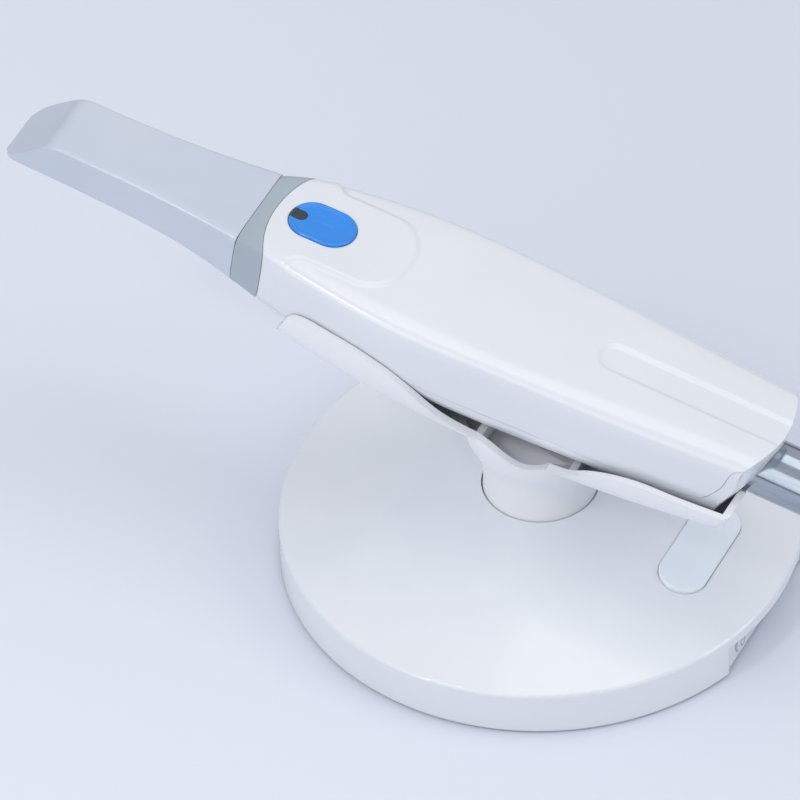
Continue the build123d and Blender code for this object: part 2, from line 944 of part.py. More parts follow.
with BuildPart() as inlet_bush:
    with BuildSketch(across(sleeve_rear + bush_proud, sleeve_height)):
        Circle(sleeve_bore)
    extrude(amount=-bush_length)
    fillet(inlet_bush.faces().sort_by(rearward)[-1].edges(), bush_proud / 2)
    with BuildSketch(across(sleeve_rear + bush_proud, sleeve_height)):
        Circle(bush_bore)
    extrude(amount=-bush_inlet_depth, mode=Mode.SUBTRACT)
inlet_bush.part.label = "inlet_bush"
export_step(inlet_bush.part, "parts/inlet_bush.step")


# Cradle: trough, flared column, ribs and notch in one moulding
def trough_place(share):
    return trough_front + share * trough_length


def rim_points(shares):
    return [(trough_place(place), height * trough_depth) for place, height in shares]


def lean_block(inset):
    # everything in front of the leaning rear wall, moved in by the inset
    foot = trough_end - inset / cos(radians(trough_lean))
    shift = reach * tan(radians(trough_lean))
    with BuildPart() as block:
        with BuildSketch(beside()):
            with BuildLine():
                Polyline(
                    (foot - shift, -reach),
                    (foot + shift, reach),
                    (body_front, reach),
                    (body_front, -reach),
                    close=True,
                )
            make_face()
        extrude(amount=reach, both=True)
    return block.part


with BuildPart() as trough:
    add(trough_form(0))
    add(lean_block(0), mode=Mode.INTERSECT)
    fillet(trough.faces().sort_by(rearward)[-1].edges(), trough_corner)

with BuildPart() as trough_inside:
    add(trough_form(cradle_wall))
    add(lean_block(cradle_wall), mode=Mode.INTERSECT)

with BuildPart() as rest_space:
    add(body_form(-rest_gap))
    add(
        crowned_block(end_shares, end_crown_radius + rest_gap, -rest_gap),
        mode=Mode.INTERSECT,
    )

with BuildPart() as ribs:
    for place_share, top_share in rib_shares:
        rib_front = trough_place(place_share) - rib_thickness / 2
        with BuildSketch(across(rib_front, top_share * trough_depth)):
            Rectangle(2 * body_half_width, trough_depth, align=(Align.CENTER, Align.MAX))
        extrude(amount=rib_thickness)
    add(trough_form(cradle_wall / 2), mode=Mode.INTERSECT)
    add(body_form(-seat_gap), mode=Mode.SUBTRACT)

with BuildPart() as rim_space:
    with BuildSketch(beside()):
        with BuildLine():
            front_rim = Spline(*rim_points(rim_front_shares))
            Spline(*rim_points(rim_dip_shares))
            rear_rim = Spline(*rim_points(rim_rear_shares))
            Polyline(
                rear_rim @ 1,
                (body_rear + overrun, reach),
                (body_front, reach),
                (body_front, -trough_depth),
                (trough_place(rim_front_shares[0][0]), -trough_depth),
                front_rim @ 0,
            )
        make_face()
    extrude(amount=reach, both=True)

flare_rise = flare_top - column_waist_start
flare_points = [
    (radius * column_radius, column_waist_start + height * flare_rise)
    for radius, height in flare_shares
]
with BuildPart() as flare_inside:
    with BuildSketch(Plane.XZ):
        with BuildLine():
            inner_flare = Spline(*[(radius - cradle_wall, height) for radius, height in flare_points])
            Polyline(
                inner_flare @ 1,
                (0, flare_top),
                (0, column_waist_start),
                inner_flare @ 0,
            )
        make_face()
        with Locations((0, flare_floor)):
            Rectangle(reach, reach, align=(Align.CENTER, Align.MAX), mode=Mode.SUBTRACT)
    revolve(axis=Axis.Z)

with BuildPart() as cradle:
    with BuildSketch(Plane.XZ):
        with BuildLine():
            flare = Spline(*flare_points)
            Polyline(
                flare @ 1,
                (0, flare_top),
                (0, plate_top),
                (column_radius, plate_top),
                flare @ 0,
            )
        make_face()
    revolve(axis=Axis.Z)
    add(trough.part)
    add(trough_inside.part, mode=Mode.SUBTRACT)
    add(flare_inside.part, mode=Mode.SUBTRACT)
    add(ribs.part)
    add(rest_space.part, mode=Mode.SUBTRACT)
    add(rim_space.part, mode=Mode.SUBTRACT)
    with BuildSketch(across(body_rear / 2 + sleeve_front / 2, sleeve_height)):
        Circle(notch_radius)
        Rectangle(2 * notch_radius, reach, align=(Align.CENTER, Align.MIN))
    extrude(amount=body_rear, mode=Mode.SUBTRACT)
    with BuildSketch(Plane.XY.offset(plate_top)):
        Circle(column_radius - column_wall)
    extrude(amount=column_bore_top - plate_top, mode=Mode.SUBTRACT)
    with BuildSketch(Plane.XY.offset(plate_top)):
        with PolarLocations(column_screw_circle, screw_count):
            Circle(screw_boss_radius)
    extrude(amount=column_boss_top - plate_top)
    with BuildSketch(Plane.XY.offset(plate_top)):
        with PolarLocations(column_screw_circle, screw_count):
            Circle(screw_radius)
    extrude(amount=screw_length, mode=Mode.SUBTRACT)
cradle.part.label = "cradle"
export_step(cradle.part, "parts/cradle.step")


# Base cover: a low dome with a recess at the rear
def domed(inset):
    edge = base_radius - inset
    top = dome_height - inset
    shoulder = rim_height - inset
    middle = ((edge + column_radius) / 2, (top + shoulder) / 2 + dome_bulge)
    with BuildPart() as form:
        with BuildSketch(Plane.XZ) as profile:
            with BuildLine():
                ThreePointArc((column_radius, top), middle, (edge, shoulder))
                Polyline(
                    (edge, shoulder), (edge, cover_lift), (0, cover_lift), (0, top), (column_radius, top)
                )
            make_face()
            rim_corner = profile.vertices().sort_by_distance((edge, shoulder))[0]
            fillet(rim_corner, rim_round)
        revolve(axis=Axis.Z)
    return form.part


dome = domed(0)
dome_inside = domed(cover_wall)
badge_height = rim_height + (base_radius - badge_place) * tan(radians(cover_slope)) + dome_bulge
badge_plane = Plane(
    origin=(badge_place, 0, badge_height),
    x_dir=(cos(radians(cover_slope)), 0, -sin(radians(cover_slope))),
    z_dir=(sin(radians(cover_slope)), 0, cos(radians(cover_slope))),
)
button_axis = (power_button_side, power_button_height)

with BuildPart() as cover_inside:
    with BuildSketch(Plane.XY.offset(cover_lift)):
        with Locations((panel_inner, 0)):
            Rectangle(
                base_radius - panel_inner,
                2 * (recess_half_width + recess_wall),
                align=(Align.MIN, Align.CENTER),
            )
    extrude(amount=recess_height + recess_wall - cover_lift)
    with BuildSketch(Plane.XY.offset(plate_top)):
        with PolarLocations(cover_screw_circle, screw_count, start_angle=cover_screw_turn):
            Circle(screw_boss_radius)
    extrude(amount=dome_height)
    add(domed(cover_wall / 2), mode=Mode.INTERSECT)

with BuildPart() as base_cover:
    add(dome)
    add(dome_inside, mode=Mode.SUBTRACT)
    add(cover_inside.part)
    with BuildSketch(Plane.XY):
        Circle(column_radius + column_gap)
    extrude(amount=reach, mode=Mode.SUBTRACT)
    with BuildSketch(Plane.XY):
        with Locations((panel_place, 0)):
            Rectangle(reach, 2 * recess_half_width, align=(Align.MIN, Align.CENTER))
    extrude(amount=recess_height, mode=Mode.SUBTRACT)
    with BuildSketch(Plane.XY.offset(plate_top)):
        with PolarLocations(cover_screw_circle, screw_count, start_angle=cover_screw_turn):
            Circle(screw_radius)
    extrude(amount=screw_length, mode=Mode.SUBTRACT)
    with BuildSketch(facing_rear(panel_inner - overrun, 0, 0)):
        with Locations(button_axis):
            Circle(power_button_radius + button_clearance)
        with Locations((power_socket_side, socket_height)):
            Rectangle(power_socket_width + 2 * button_clearance, power_socket_tall + 2 * button_clearance)
        with Locations((data_socket_side, socket_height)):
            Rectangle(data_socket_width + 2 * button_clearance, data_socket_tall + 2 * button_clearance)
    extrude(amount=reach, mode=Mode.SUBTRACT)
    with BuildSketch(badge_plane.offset(-badge_sink)):
        SlotOverall(badge_length + 2 * badge_gap, badge_width + 2 * badge_gap, rotation=badge_turn)
    extrude(amount=reach / 2, mode=Mode.SUBTRACT)
base_cover.part.label = "base_cover"
export_step(base_cover.part, "parts/base_cover.step")

with BuildPart() as badge_plate:
    with BuildSketch(badge_plane.offset(-badge_sink)):
        SlotOverall(badge_length, badge_width, rotation=badge_turn)
    extrude(amount=badge_thickness)
    fillet(badge_plate.faces().sort_by(Axis((0, 0, 0), badge_plane.z_dir))[-1].edges(), badge_round)
badge_plate.part.label = "badge_plate"
export_step(badge_plate.part, "parts/badge_plate.step")

# Base station: plate, pad, ballast and screws
with BuildPart() as base_plate:
    with BuildSketch(Plane.XY.offset(pad_thickness)):
        Circle(base_radius - cover_wall - plate_gap)
        with Locations((panel_inner - plate_gap, 0)):
            Rectangle(
                reach,
                2 * (recess_half_width + recess_wall + plate_gap),
                align=(Align.MIN, Align.CENTER),
                mode=Mode.SUBTRACT,
            )
        with Locations((flange_relief, power_button_side)):
            Rectangle(
                reach,
                2 * (power_button_radius + power_flange + plate_gap),
                align=(Align.MIN, Align.CENTER),
                mode=Mode.SUBTRACT,
            )
    extrude(amount=plate_thickness)
    with Locations(Plane(origin=(0, 0, pad_thickness), x_dir=(1, 0, 0), z_dir=(0, 0, -1))):
        with PolarLocations(cover_screw_circle, screw_count, start_angle=cover_screw_turn):
            CounterSinkHole(screw_radius, screw_head_radius, plate_thickness)
        with PolarLocations(column_screw_circle, screw_count):
            CounterSinkHole(screw_radius, screw_head_radius, plate_thickness)
base_plate.part.label = "base_plate"
export_step(base_plate.part, "parts/base_plate.step")

with BuildPart() as foot_pad:
    with BuildSketch():
        Circle(pad_radius)
    extrude(amount=pad_thickness)
foot_pad.part.label = "foot_pad"
export_step(foot_pad.part, "parts/foot_pad.step")

with BuildPart() as ballast_weight:
    with BuildSketch(Plane.XY.offset(plate_top)):
        Circle(ballast_outer_radius)
        Circle(ballast_inner_radius, mode=Mode.SUBTRACT)
    extrude(amount=ballast_thickness)
ballast_weight.part.label = "ballast_weight"
export_step(ballast_weight.part, "parts/ballast_weight.step")


def countersunk(circle, turn):
    # screws on a circle, their heads level with the plate's underside
    with BuildPart(Plane.XY.offset(pad_thickness)) as screws:
        with PolarLocations(circle, screw_count, start_angle=turn):
            Cylinder(screw_radius, screw_length, align=(Align.CENTER, Align.CENTER, Align.MIN))
            Cone(
                screw_head_radius,
                screw_radius,
                screw_head_radius - screw_radius,
                align=(Align.CENTER, Align.CENTER, Align.MIN),
            )
    return screws.part


with BuildPart() as base_screws:
    add(countersunk(cover_screw_circle, cover_screw_turn))
base_screws.part.label = "base_screws"
export_step(base_screws.part, "parts/base_screws.step")

with BuildPart() as column_screws:
    add(countersunk(column_screw_circle, 0))
column_screws.part.label = "column_screws"
export_step(column_screws.part, "parts/column_screws.step")

# Base station: button, switch, board and sockets behind the recess
flange_front = panel_inner - seat_gap
with BuildPart() as power_button:
    with BuildSketch(facing_rear(flange_front, *button_axis)):
        Circle(power_button_radius)
    extrude(amount=panel_place + power_button_proud - flange_front)
    fillet(power_button.faces().sort_by(Axis.X)[-1].edges(), power_button_proud / 2)
    with BuildSketch(facing_rear(flange_front, *button_axis)):
        Circle(power_button_radius + power_flange)
    extrude(amount=-power_flange_thickness)
power_button.part.label = "power_button"
export_step(power_button.part, "parts/power_button.step")

switch_depth = flange_front - power_flange_thickness - power_button_travel - panel_board_front
with BuildPart() as power_switch:
    with BuildSketch(facing_rear(panel_board_front, *button_axis)):
        Rectangle(power_switch_width, power_switch_width)
    extrude(amount=switch_depth - button_clearance)
power_switch.part.label = "power_switch"
export_step(power_switch.part, "parts/power_switch.step")

with BuildPart() as base_board:
    with BuildSketch(facing_rear(panel_board_front, 0, plate_top)):
        Rectangle(
            2 * panel_board_half_width, panel_board_top - plate_top, align=(Align.CENTER, Align.MIN)
        )
    extrude(amount=-panel_board_thickness)
base_board.part.label = "base_board"
export_step(base_board.part, "parts/base_board.step")

socket_face = panel_place - socket_sink
with BuildPart() as power_socket:
    with BuildSketch(facing_rear(socket_face, power_socket_side, socket_height)):
        Rectangle(power_socket_width, power_socket_tall)
    extrude(amount=panel_board_front - socket_face)
    with BuildSketch(facing_rear(socket_face, power_socket_side, socket_height)):
        Circle(power_socket_bore)
        Circle(power_socket_pin, mode=Mode.SUBTRACT)
    extrude(amount=-socket_depth, mode=Mode.SUBTRACT)
power_socket.part.label = "power_socket"
export_step(power_socket.part, "parts/power_socket.step")

with BuildPart() as data_socket:
    with BuildSketch(facing_rear(socket_face, data_socket_side, socket_height)):
        SlotOverall(data_socket_width, data_socket_tall)
    extrude(amount=panel_board_front - socket_face)
    with BuildSketch(facing_rear(socket_face, data_socket_side, socket_height)):
        SlotOverall(
            data_socket_width - 2 * data_socket_rim, data_socket_tall - 2 * data_socket_rim
        )
    extrude(amount=-socket_depth, mode=Mode.SUBTRACT)
data_socket.part.label = "data_socket"
export_step(data_socket.part, "parts/data_socket.step")
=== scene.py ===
import math

import bmesh
import bpy
import numpy as np
from mathutils import Matrix, Vector


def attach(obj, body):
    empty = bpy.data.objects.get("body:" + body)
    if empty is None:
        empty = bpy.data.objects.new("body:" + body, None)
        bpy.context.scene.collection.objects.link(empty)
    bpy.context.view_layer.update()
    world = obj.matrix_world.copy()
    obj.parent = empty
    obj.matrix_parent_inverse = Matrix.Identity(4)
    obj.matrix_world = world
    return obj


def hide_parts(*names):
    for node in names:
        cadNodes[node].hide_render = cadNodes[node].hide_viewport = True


print("intraoral scanner: loading the frame")
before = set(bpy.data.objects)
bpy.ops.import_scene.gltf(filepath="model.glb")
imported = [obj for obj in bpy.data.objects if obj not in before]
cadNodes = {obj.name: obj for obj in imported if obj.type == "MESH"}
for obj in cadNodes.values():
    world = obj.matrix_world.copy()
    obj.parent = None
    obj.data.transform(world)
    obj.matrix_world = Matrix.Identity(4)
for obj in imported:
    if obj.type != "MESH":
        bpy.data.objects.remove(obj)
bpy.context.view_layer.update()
scene = bpy.context.scene
scene.view_settings.view_transform = "Standard"


def shade(red, green, blue):
    # a colour as it shows on screen, 0 to 255, turned into the linear values that shaders take
    linear = []
    for part in (red, green, blue):
        part = part / 255
        linear.append(part / 12.92 if part <= 0.04045 else ((part + 0.055) / 1.055) ** 2.4)
    return (*linear, 1.0)


def addNode(tree, kind, place, **settings):
    node = tree.nodes.new(kind)
    node.location = place
    for key, value in settings.items():
        setattr(node, key, value)
    return node


def setInputs(node, **values):
    for key, value in values.items():
        node.inputs[key.replace("_", " ")].default_value = value


def startMaterial(name):
    material = bpy.data.materials.new(name)
    material.use_nodes = True
    tree = material.node_tree
    tree.nodes.clear()
    output = addNode(tree, "ShaderNodeOutputMaterial", (900, 0))
    shader = addNode(tree, "ShaderNodeBsdfPrincipled", (600, 0))
    tree.links.new(shader.outputs["BSDF"], output.inputs["Surface"])
    coordinate = addNode(tree, "ShaderNodeTexCoord", (-900, 0))
    return material, tree, shader, coordinate.outputs["Object"]


def noiseOn(tree, source, scale, detail, place, stretch=None):
    if stretch:
        mapping = addNode(tree, "ShaderNodeMapping", (place[0] - 200, place[1]))
        mapping.inputs["Scale"].default_value = stretch
        tree.links.new(source, mapping.inputs["Vector"])
        source = mapping.outputs["Vector"]
    pattern = addNode(tree, "ShaderNodeTexNoise", place)
    setInputs(pattern, Scale=scale, Detail=detail, Roughness=0.55)
    tree.links.new(source, pattern.inputs["Vector"])
    return pattern.outputs["Fac"]


def rampOn(tree, source, low, high, start, end, place):
    ramp = addNode(tree, "ShaderNodeValToRGB", place)
    ramp.color_ramp.interpolation = "EASE"
    ramp.color_ramp.elements[0].position = start
    ramp.color_ramp.elements[0].color = low
    ramp.color_ramp.elements[1].position = end
    ramp.color_ramp.elements[1].color = high
    tree.links.new(source, ramp.inputs["Fac"])
    return ramp.outputs["Color"]


def rangeOn(tree, source, low, high, place, fromLow=0.0, fromHigh=1.0):
    span = addNode(tree, "ShaderNodeMapRange", place)
    span.inputs["From Min"].default_value = fromLow
    span.inputs["From Max"].default_value = fromHigh
    span.inputs["To Min"].default_value = low
    span.inputs["To Max"].default_value = high
    tree.links.new(source, span.inputs["Value"])
    return span.outputs["Result"]


# what the finishes share; a finish with its own grain depth says so
finishPattern = {
    "cloudDetail": 3.0, "cloudSpan": (0.2, 0.8), "glossDetail": 2.0,
    "grainDetail": 4.0, "grainDepth": 0.0001, "edgeSamples": 6,
}


def makeFinish(name, look):
    # clouded colour, uneven gloss, a fine bump and softened edges
    material, tree, shader, source = startMaterial(name)
    shared, stretch = finishPattern, look.get("stretch")
    cloud = noiseOn(tree, source, look["cloudScale"], shared["cloudDetail"], (-600, 300), stretch)
    pale, deep = shade(*look["high"]), shade(*look["low"])
    colour = rampOn(tree, cloud, deep, pale, *shared["cloudSpan"], (-300, 300))
    tree.links.new(colour, shader.inputs["Base Color"])
    gloss = noiseOn(tree, source, look["glossScale"], shared["glossDetail"], (-600, 0), stretch)
    rough = rangeOn(tree, gloss, *look["roughness"], (-300, 0))
    tree.links.new(rough, shader.inputs["Roughness"])
    grain = noiseOn(tree, source, look["grainScale"], shared["grainDetail"], (-600, -300), stretch)
    bump = addNode(tree, "ShaderNodeBump", (0, -300))
    setInputs(bump, Strength=look["grain"], Distance=look.get("grainDepth", shared["grainDepth"]))
    tree.links.new(grain, bump.inputs["Height"])
    if look.get("edge"):
        edge = addNode(tree, "ShaderNodeBevel", (-300, -500), samples=shared["edgeSamples"])
        edge.inputs["Radius"].default_value = look["edge"]
        tree.links.new(edge.outputs["Normal"], bump.inputs["Normal"])
    tree.links.new(bump.outputs["Normal"], shader.inputs["Normal"])
    for key, value in look.get("shader", {}).items():
        shader.inputs[key].default_value = value
    return material


# colours from 0 to 255 as they show, patterns per metre, edge softening in metres
finishes = {
    "whitePlastic": {
        "low": (223, 227, 234), "high": (228, 232, 238),
        "cloudScale": 22.0, "glossScale": 60.0, "grainScale": 2600.0,
        "roughness": (0.18, 0.28), "grain": 0.03, "edge": 0.0005,
        "shader": {"Coat Weight": 0.7, "Coat Roughness": 0.10, "IOR": 1.49},
    },
    "cradlePlastic": {
        "low": (238, 240, 244), "high": (242, 244, 247),
        "cloudScale": 22.0, "glossScale": 60.0, "grainScale": 2600.0,
        "roughness": (0.40, 0.48), "grain": 0.03, "edge": 0.0003,
        "shader": {"IOR": 1.46},
    },
    "tipPlastic": {
        "low": (194, 203, 217), "high": (200, 208, 221),
        "cloudScale": 30.0, "glossScale": 80.0, "grainScale": 3200.0,
        "roughness": (0.2, 0.3), "grain": 0.03, "edge": 0.0004,
        "shader": {"Coat Weight": 0.6, "Coat Roughness": 0.12, "IOR": 1.5},
    },
    "collarPlastic": {
        "low": (164, 177, 188), "high": (169, 182, 193),
        "cloudScale": 40.0, "glossScale": 90.0, "grainScale": 3500.0,
        "roughness": (0.34, 0.42), "grain": 0.12, "edge": 0.0002,
    },
    "buttonBlue": {
        "low": (20, 132, 228), "high": (26, 140, 236),
        "cloudScale": 90.0, "glossScale": 150.0, "grainScale": 4000.0,
        "roughness": (0.24, 0.34), "grain": 0.05, "edge": 0.0002,
        "shader": {"Coat Weight": 0.5, "Coat Roughness": 0.12},
    },
    "darkWindow": {
        "low": (30, 40, 54), "high": (38, 50, 66),
        "cloudScale": 120.0, "glossScale": 150.0, "grainScale": 4000.0,
        "roughness": (0.14, 0.2), "grain": 0.03, "edge": 0.0002,
        "shader": {"Coat Weight": 0.5, "Coat Roughness": 0.05},
    },
    "mirrorCoat": {
        "low": (222, 226, 232), "high": (230, 233, 238),
        "cloudScale": 60.0, "glossScale": 90.0, "grainScale": 900.0,
        "roughness": (0.01, 0.03), "grain": 0.01, "edge": 0.0001,
        "shader": {"Metallic": 1.0},
    },
    "clearGlass": {
        "low": (226, 236, 244), "high": (234, 242, 248),
        "cloudScale": 50.0, "glossScale": 80.0, "grainScale": 900.0,
        "roughness": (0.01, 0.03), "grain": 0.01,
        "shader": {"Transmission Weight": 1.0, "IOR": 1.5},
    },
    "badgeClear": {
        "low": (228, 237, 246), "high": (233, 241, 249),
        "cloudScale": 60.0, "glossScale": 90.0, "grainScale": 900.0,
        "roughness": (0.12, 0.18), "grain": 0.02, "edge": 0.0003,
        "shader": {"IOR": 1.49, "Coat Weight": 1.0, "Coat Roughness": 0.03},
    },
    "signGrey": {
        "low": (120, 132, 150), "high": (128, 140, 158),
        "cloudScale": 300.0, "glossScale": 300.0, "grainScale": 4000.0,
        "roughness": (0.4, 0.5), "grain": 0.05,
    },
    "frameMetal": {
        "low": (160, 163, 168), "high": (176, 178, 182),
        "cloudScale": 120.0, "glossScale": 200.0, "grainScale": 1500.0, "stretch": (1.0, 14.0, 14.0),
        "roughness": (0.3, 0.44), "grain": 0.12, "edge": 0.0002,
        "shader": {"Metallic": 1.0},
    },
    "moduleBlack": {
        "low": (30, 31, 34), "high": (38, 39, 42),
        "cloudScale": 120.0, "glossScale": 200.0, "grainScale": 3500.0,
        "roughness": (0.5, 0.62), "grain": 0.25, "edge": 0.0002,
    },
    "switchBlack": {
        "low": (34, 34, 37), "high": (44, 44, 47),
        "cloudScale": 200.0, "glossScale": 250.0, "grainScale": 4500.0,
        "roughness": (0.42, 0.55), "grain": 0.2, "edge": 0.0001,
    },
    "screwSteel": {
        "low": (168, 170, 174), "high": (188, 190, 194),
        "cloudScale": 400.0, "glossScale": 500.0, "grainScale": 5000.0,
        "roughness": (0.22, 0.36), "grain": 0.1, "edge": 0.0001,
        "shader": {"Metallic": 1.0},
    },
    "sleeveChrome": {
        "low": (158, 168, 180), "high": (172, 181, 192),
        "cloudScale": 90.0, "glossScale": 300.0, "grainScale": 2500.0, "stretch": (1.0, 9.0, 9.0),
        "roughness": (0.1, 0.17), "grain": 0.03, "edge": 0.0003,
        "shader": {"Metallic": 1.0},
    },
    "blackRubber": {
        "low": (30, 30, 33), "high": (40, 40, 43),
        "cloudScale": 160.0, "glossScale": 300.0, "grainScale": 5000.0,
        "roughness": (0.62, 0.78), "grain": 0.4, "edge": 0.0003,
    },
    "platePlastic": {
        "low": (88, 93, 101), "high": (98, 103, 110),
        "cloudScale": 60.0, "glossScale": 150.0, "grainScale": 3000.0,
        "roughness": (0.46, 0.6), "grain": 0.3, "edge": 0.0003,
    },
    "weightIron": {
        "low": (66, 67, 70), "high": (86, 86, 88),
        "cloudScale": 300.0, "glossScale": 400.0, "grainScale": 1200.0,
        "roughness": (0.55, 0.75), "grain": 0.6, "grainDepth": 0.0003, "edge": 0.0004,
        "shader": {"Metallic": 0.7},
    },
    "buttonGrey": {
        "low": (212, 218, 228), "high": (218, 224, 233),
        "cloudScale": 150.0, "glossScale": 200.0, "grainScale": 4000.0,
        "roughness": (0.24, 0.32), "grain": 0.06, "edge": 0.0002,
    },
    "boardGreen": {
        "low": (22, 96, 58), "high": (30, 110, 68),
        "cloudScale": 700.0, "glossScale": 300.0, "grainScale": 2400.0,
        "roughness": (0.3, 0.42), "grain": 0.15, "edge": 0.0001,
    },
}
materials = {name: makeFinish(name, look) for name, look in finishes.items()}
print("finishes made:", len(materials))

# every CAD node that stays visible, with its finish
nodeFinishes = {
    "whitePlastic": ["top_housing", "bottom_housing", "base_cover"],
    "cradlePlastic": ["cradle"],
    "tipPlastic": ["tip_shell"],
    "collarPlastic": ["front_ring"],
    "buttonBlue": ["scan_button"],
    "darkWindow": ["button_light"],
    "mirrorCoat": ["tip_mirror"],
    "clearGlass": ["lens_window"],
    "badgeClear": ["badge_plate"],
    "frameMetal": ["optics_frame", "heat_sink", "sleeve_nut"],
    "moduleBlack": ["nose_tube", "camera_module", "projector_module"],
    "switchBlack": ["scan_switch", "power_switch", "power_socket"],
    "screwSteel": ["housing_screws", "base_screws", "column_screws", "data_socket"],
    "sleeveChrome": ["cable_sleeve"],
    "blackRubber": ["inlet_bush", "foot_pad"],
    "platePlastic": ["base_plate"],
    "weightIron": ["ballast_weight"],
    "buttonGrey": ["power_button"],
    "boardGreen": ["main_board", "base_board"],
}
for finish, names in nodeFinishes.items():
    for name in names:
        mesh = cadNodes[name].data
        mesh.materials.clear()
        mesh.materials.append(materials[finish])

# the handpiece's own frame: places along its axis, to its side and above the axis, in millimetres
handFrame = {"slope": 9.4, "height": 66.0, "waist": 3.0}
millimetre = 0.001
slopeCos = math.cos(math.radians(handFrame["slope"]))
slopeSin = math.sin(math.radians(handFrame["slope"]))


def toWorld(place, side, height):
    # from the handpiece's frame to the scene, in metres; takes numbers or arrays
    return (
        (place * slopeCos + height * slopeSin) * millimetre,
        side * millimetre,
        (handFrame["height"] - place * slopeSin + height * slopeCos) * millimetre,
    )


def smoothThrough(knots, values, at):
    # a natural cubic spline through the knots, read at the given places
    knots, values, at = np.asarray(knots, float), np.asarray(values, float), np.asarray(at, float)
    steps = np.diff(knots)
    rises = np.diff(values) / steps
    count = len(knots)
    matrix, right = np.eye(count), np.zeros(count)
    for row in range(1, count - 1):
        matrix[row, row - 1] = steps[row - 1]
        matrix[row, row] = 2 * (steps[row - 1] + steps[row])
        matrix[row, row + 1] = steps[row]
        right[row] = 6 * (rises[row] - rises[row - 1])
    bends = np.linalg.solve(matrix, right)
    span = np.clip(np.searchsorted(knots, at) - 1, 0, count - 2)
    left, ahead, step = at - knots[span], knots[span + 1] - at, steps[span]
    return (
        (bends[span] * ahead**3 + bends[span + 1] * left**3) / (6 * step)
        + (values[span] / step - bends[span] * step / 6) * ahead
        + (values[span + 1] / step - bends[span + 1] * step / 6) * left
    )


def spacedRows(*spans):
    # evenly spaced values: first, next span's first, count; the last span keeps its end
    rows = [np.linspace(*span, endpoint=False) for span in spans[:-1]]
    return np.concatenate((*rows, np.linspace(*spans[-1])))


def lastShare(holds, like, rounds=26):
    # for each element the largest share, 0 to 1, at which the condition still holds
    low, high = np.zeros_like(like), np.ones_like(like)
    for _ in range(rounds):
        middle = (low + high) / 2
        fits = holds(middle)
        low, high = np.where(fits, middle, low), np.where(fits, high, middle)
    return low


def softStep(distance, halfWidth):
    share = np.clip(distance / (2 * halfWidth) + 0.5, 0.0, 1.0)
    return share * share * (3 - 2 * share)


def meshPiece(name, vertices, faces, finish):
    mesh = bpy.data.meshes.new(name)
    mesh.from_pydata([tuple(map(float, spot)) for spot in vertices], [], faces)
    mesh.validate()
    piece = bpy.data.objects.new(name, mesh)
    scene.collection.objects.link(piece)
    mesh.materials.append(materials[finish])
    return piece


def ringFaces(count, around):
    # quads between closed rings of points
    return [
        (
            row * around + k, row * around + (k + 1) % around,
            (row + 1) * around + (k + 1) % around, (row + 1) * around + k,
        )
        for row in range(count - 1) for k in range(around)
    ]


def bakeModifiers(piece):
    # the piece's modifiers worked into its mesh
    depsgraph = bpy.context.evaluated_depsgraph_get()
    mesh = bpy.data.meshes.new_from_object(piece.evaluated_get(depsgraph))
    piece.modifiers.clear()
    piece.data = mesh
    return piece


def faceOut(piece):
    # doubles merged, then every face turned outwards
    builder = bmesh.new()
    builder.from_mesh(piece.data)
    bmesh.ops.remove_doubles(builder, verts=builder.verts, dist=1e-7)
    bmesh.ops.recalc_face_normals(builder, faces=builder.faces)
    builder.to_mesh(piece.data)
    builder.free()


def smoothShade(piece, degreesSharp=35.0):
    for polygon in piece.data.polygons:
        polygon.use_smooth = True
    piece.data.set_sharp_from_angle(angle=math.radians(degreesSharp))


# the housings' section along the handpiece: place, half width, top, depth, upper and lower pull
bodyForm = {
    "front": -84.0, "length": 156.0, "halfWidth": 22.6, "top": 16.0, "depth": 15.4, "corners": 2,
    "shares": (
        (0.000, 0.640, 0.815, 0.465, 0.62, 0.81), (0.030, 0.695, 0.905, 0.500, 0.62, 0.78),
        (0.070, 0.770, 0.970, 0.580, 0.62, 0.75), (0.135, 0.860, 0.998, 0.745, 0.63, 0.71),
        (0.220, 0.945, 1.000, 0.900, 0.69, 0.69), (0.330, 1.000, 1.000, 0.978, 0.70, 0.66),
        (0.460, 0.980, 1.000, 1.000, 0.73, 0.66), (0.590, 0.940, 1.000, 0.955, 0.70, 0.66),
        (0.720, 0.895, 1.000, 0.900, 0.60, 0.66), (0.850, 0.835, 1.000, 0.820, 0.53, 0.66),
        (1.000, 0.740, 0.995, 0.700, 0.60, 0.66),
    ),
}


def bodySizes(place):
    # width, top, depth and the two pulls at places along the handpiece
    knots = [bodyForm["front"] + row[0] * bodyForm["length"] for row in bodyForm["shares"]]
    scales = (bodyForm["halfWidth"], bodyForm["top"], bodyForm["depth"], 1.0, 1.0)
    return [
        scale * smoothThrough(knots, [row[column + 1] for row in bodyForm["shares"]], place)
        for column, scale in enumerate(scales)
    ]


def lowerCurve(width, depth, pull, share):
    # the section's lower quarter, from the waist at 0 to the bottom at 1
    rest, waist = 1 - share, handFrame["waist"]
    parts = (rest**3, 3 * share * rest**2, 3 * share**2 * rest, share**3)
    side = width * (parts[0] + parts[1] + pull * parts[2])
    height = waist * parts[0] + (waist - pull * (depth + waist)) * parts[1]
    return side, height - depth * (parts[2] + parts[3])


def upperCurve(width, top, pull, share, corners=bodyForm["corners"]):
    # the upper quarter, from the waist at 0 to the crest at 1; more corner points make it squarer
    degree, rest, waist = corners + 3, 1 - share, handFrame["waist"]
    parts = [math.comb(degree, k) * share**k * rest ** (degree - k) for k in range(degree + 1)]
    side = width * (1 - (1 - pull) * parts[-2] - parts[-1])
    height = waist * parts[0] + (waist + pull * (top - waist)) * parts[1]
    return side, height + top * (1 - parts[0] - parts[1])


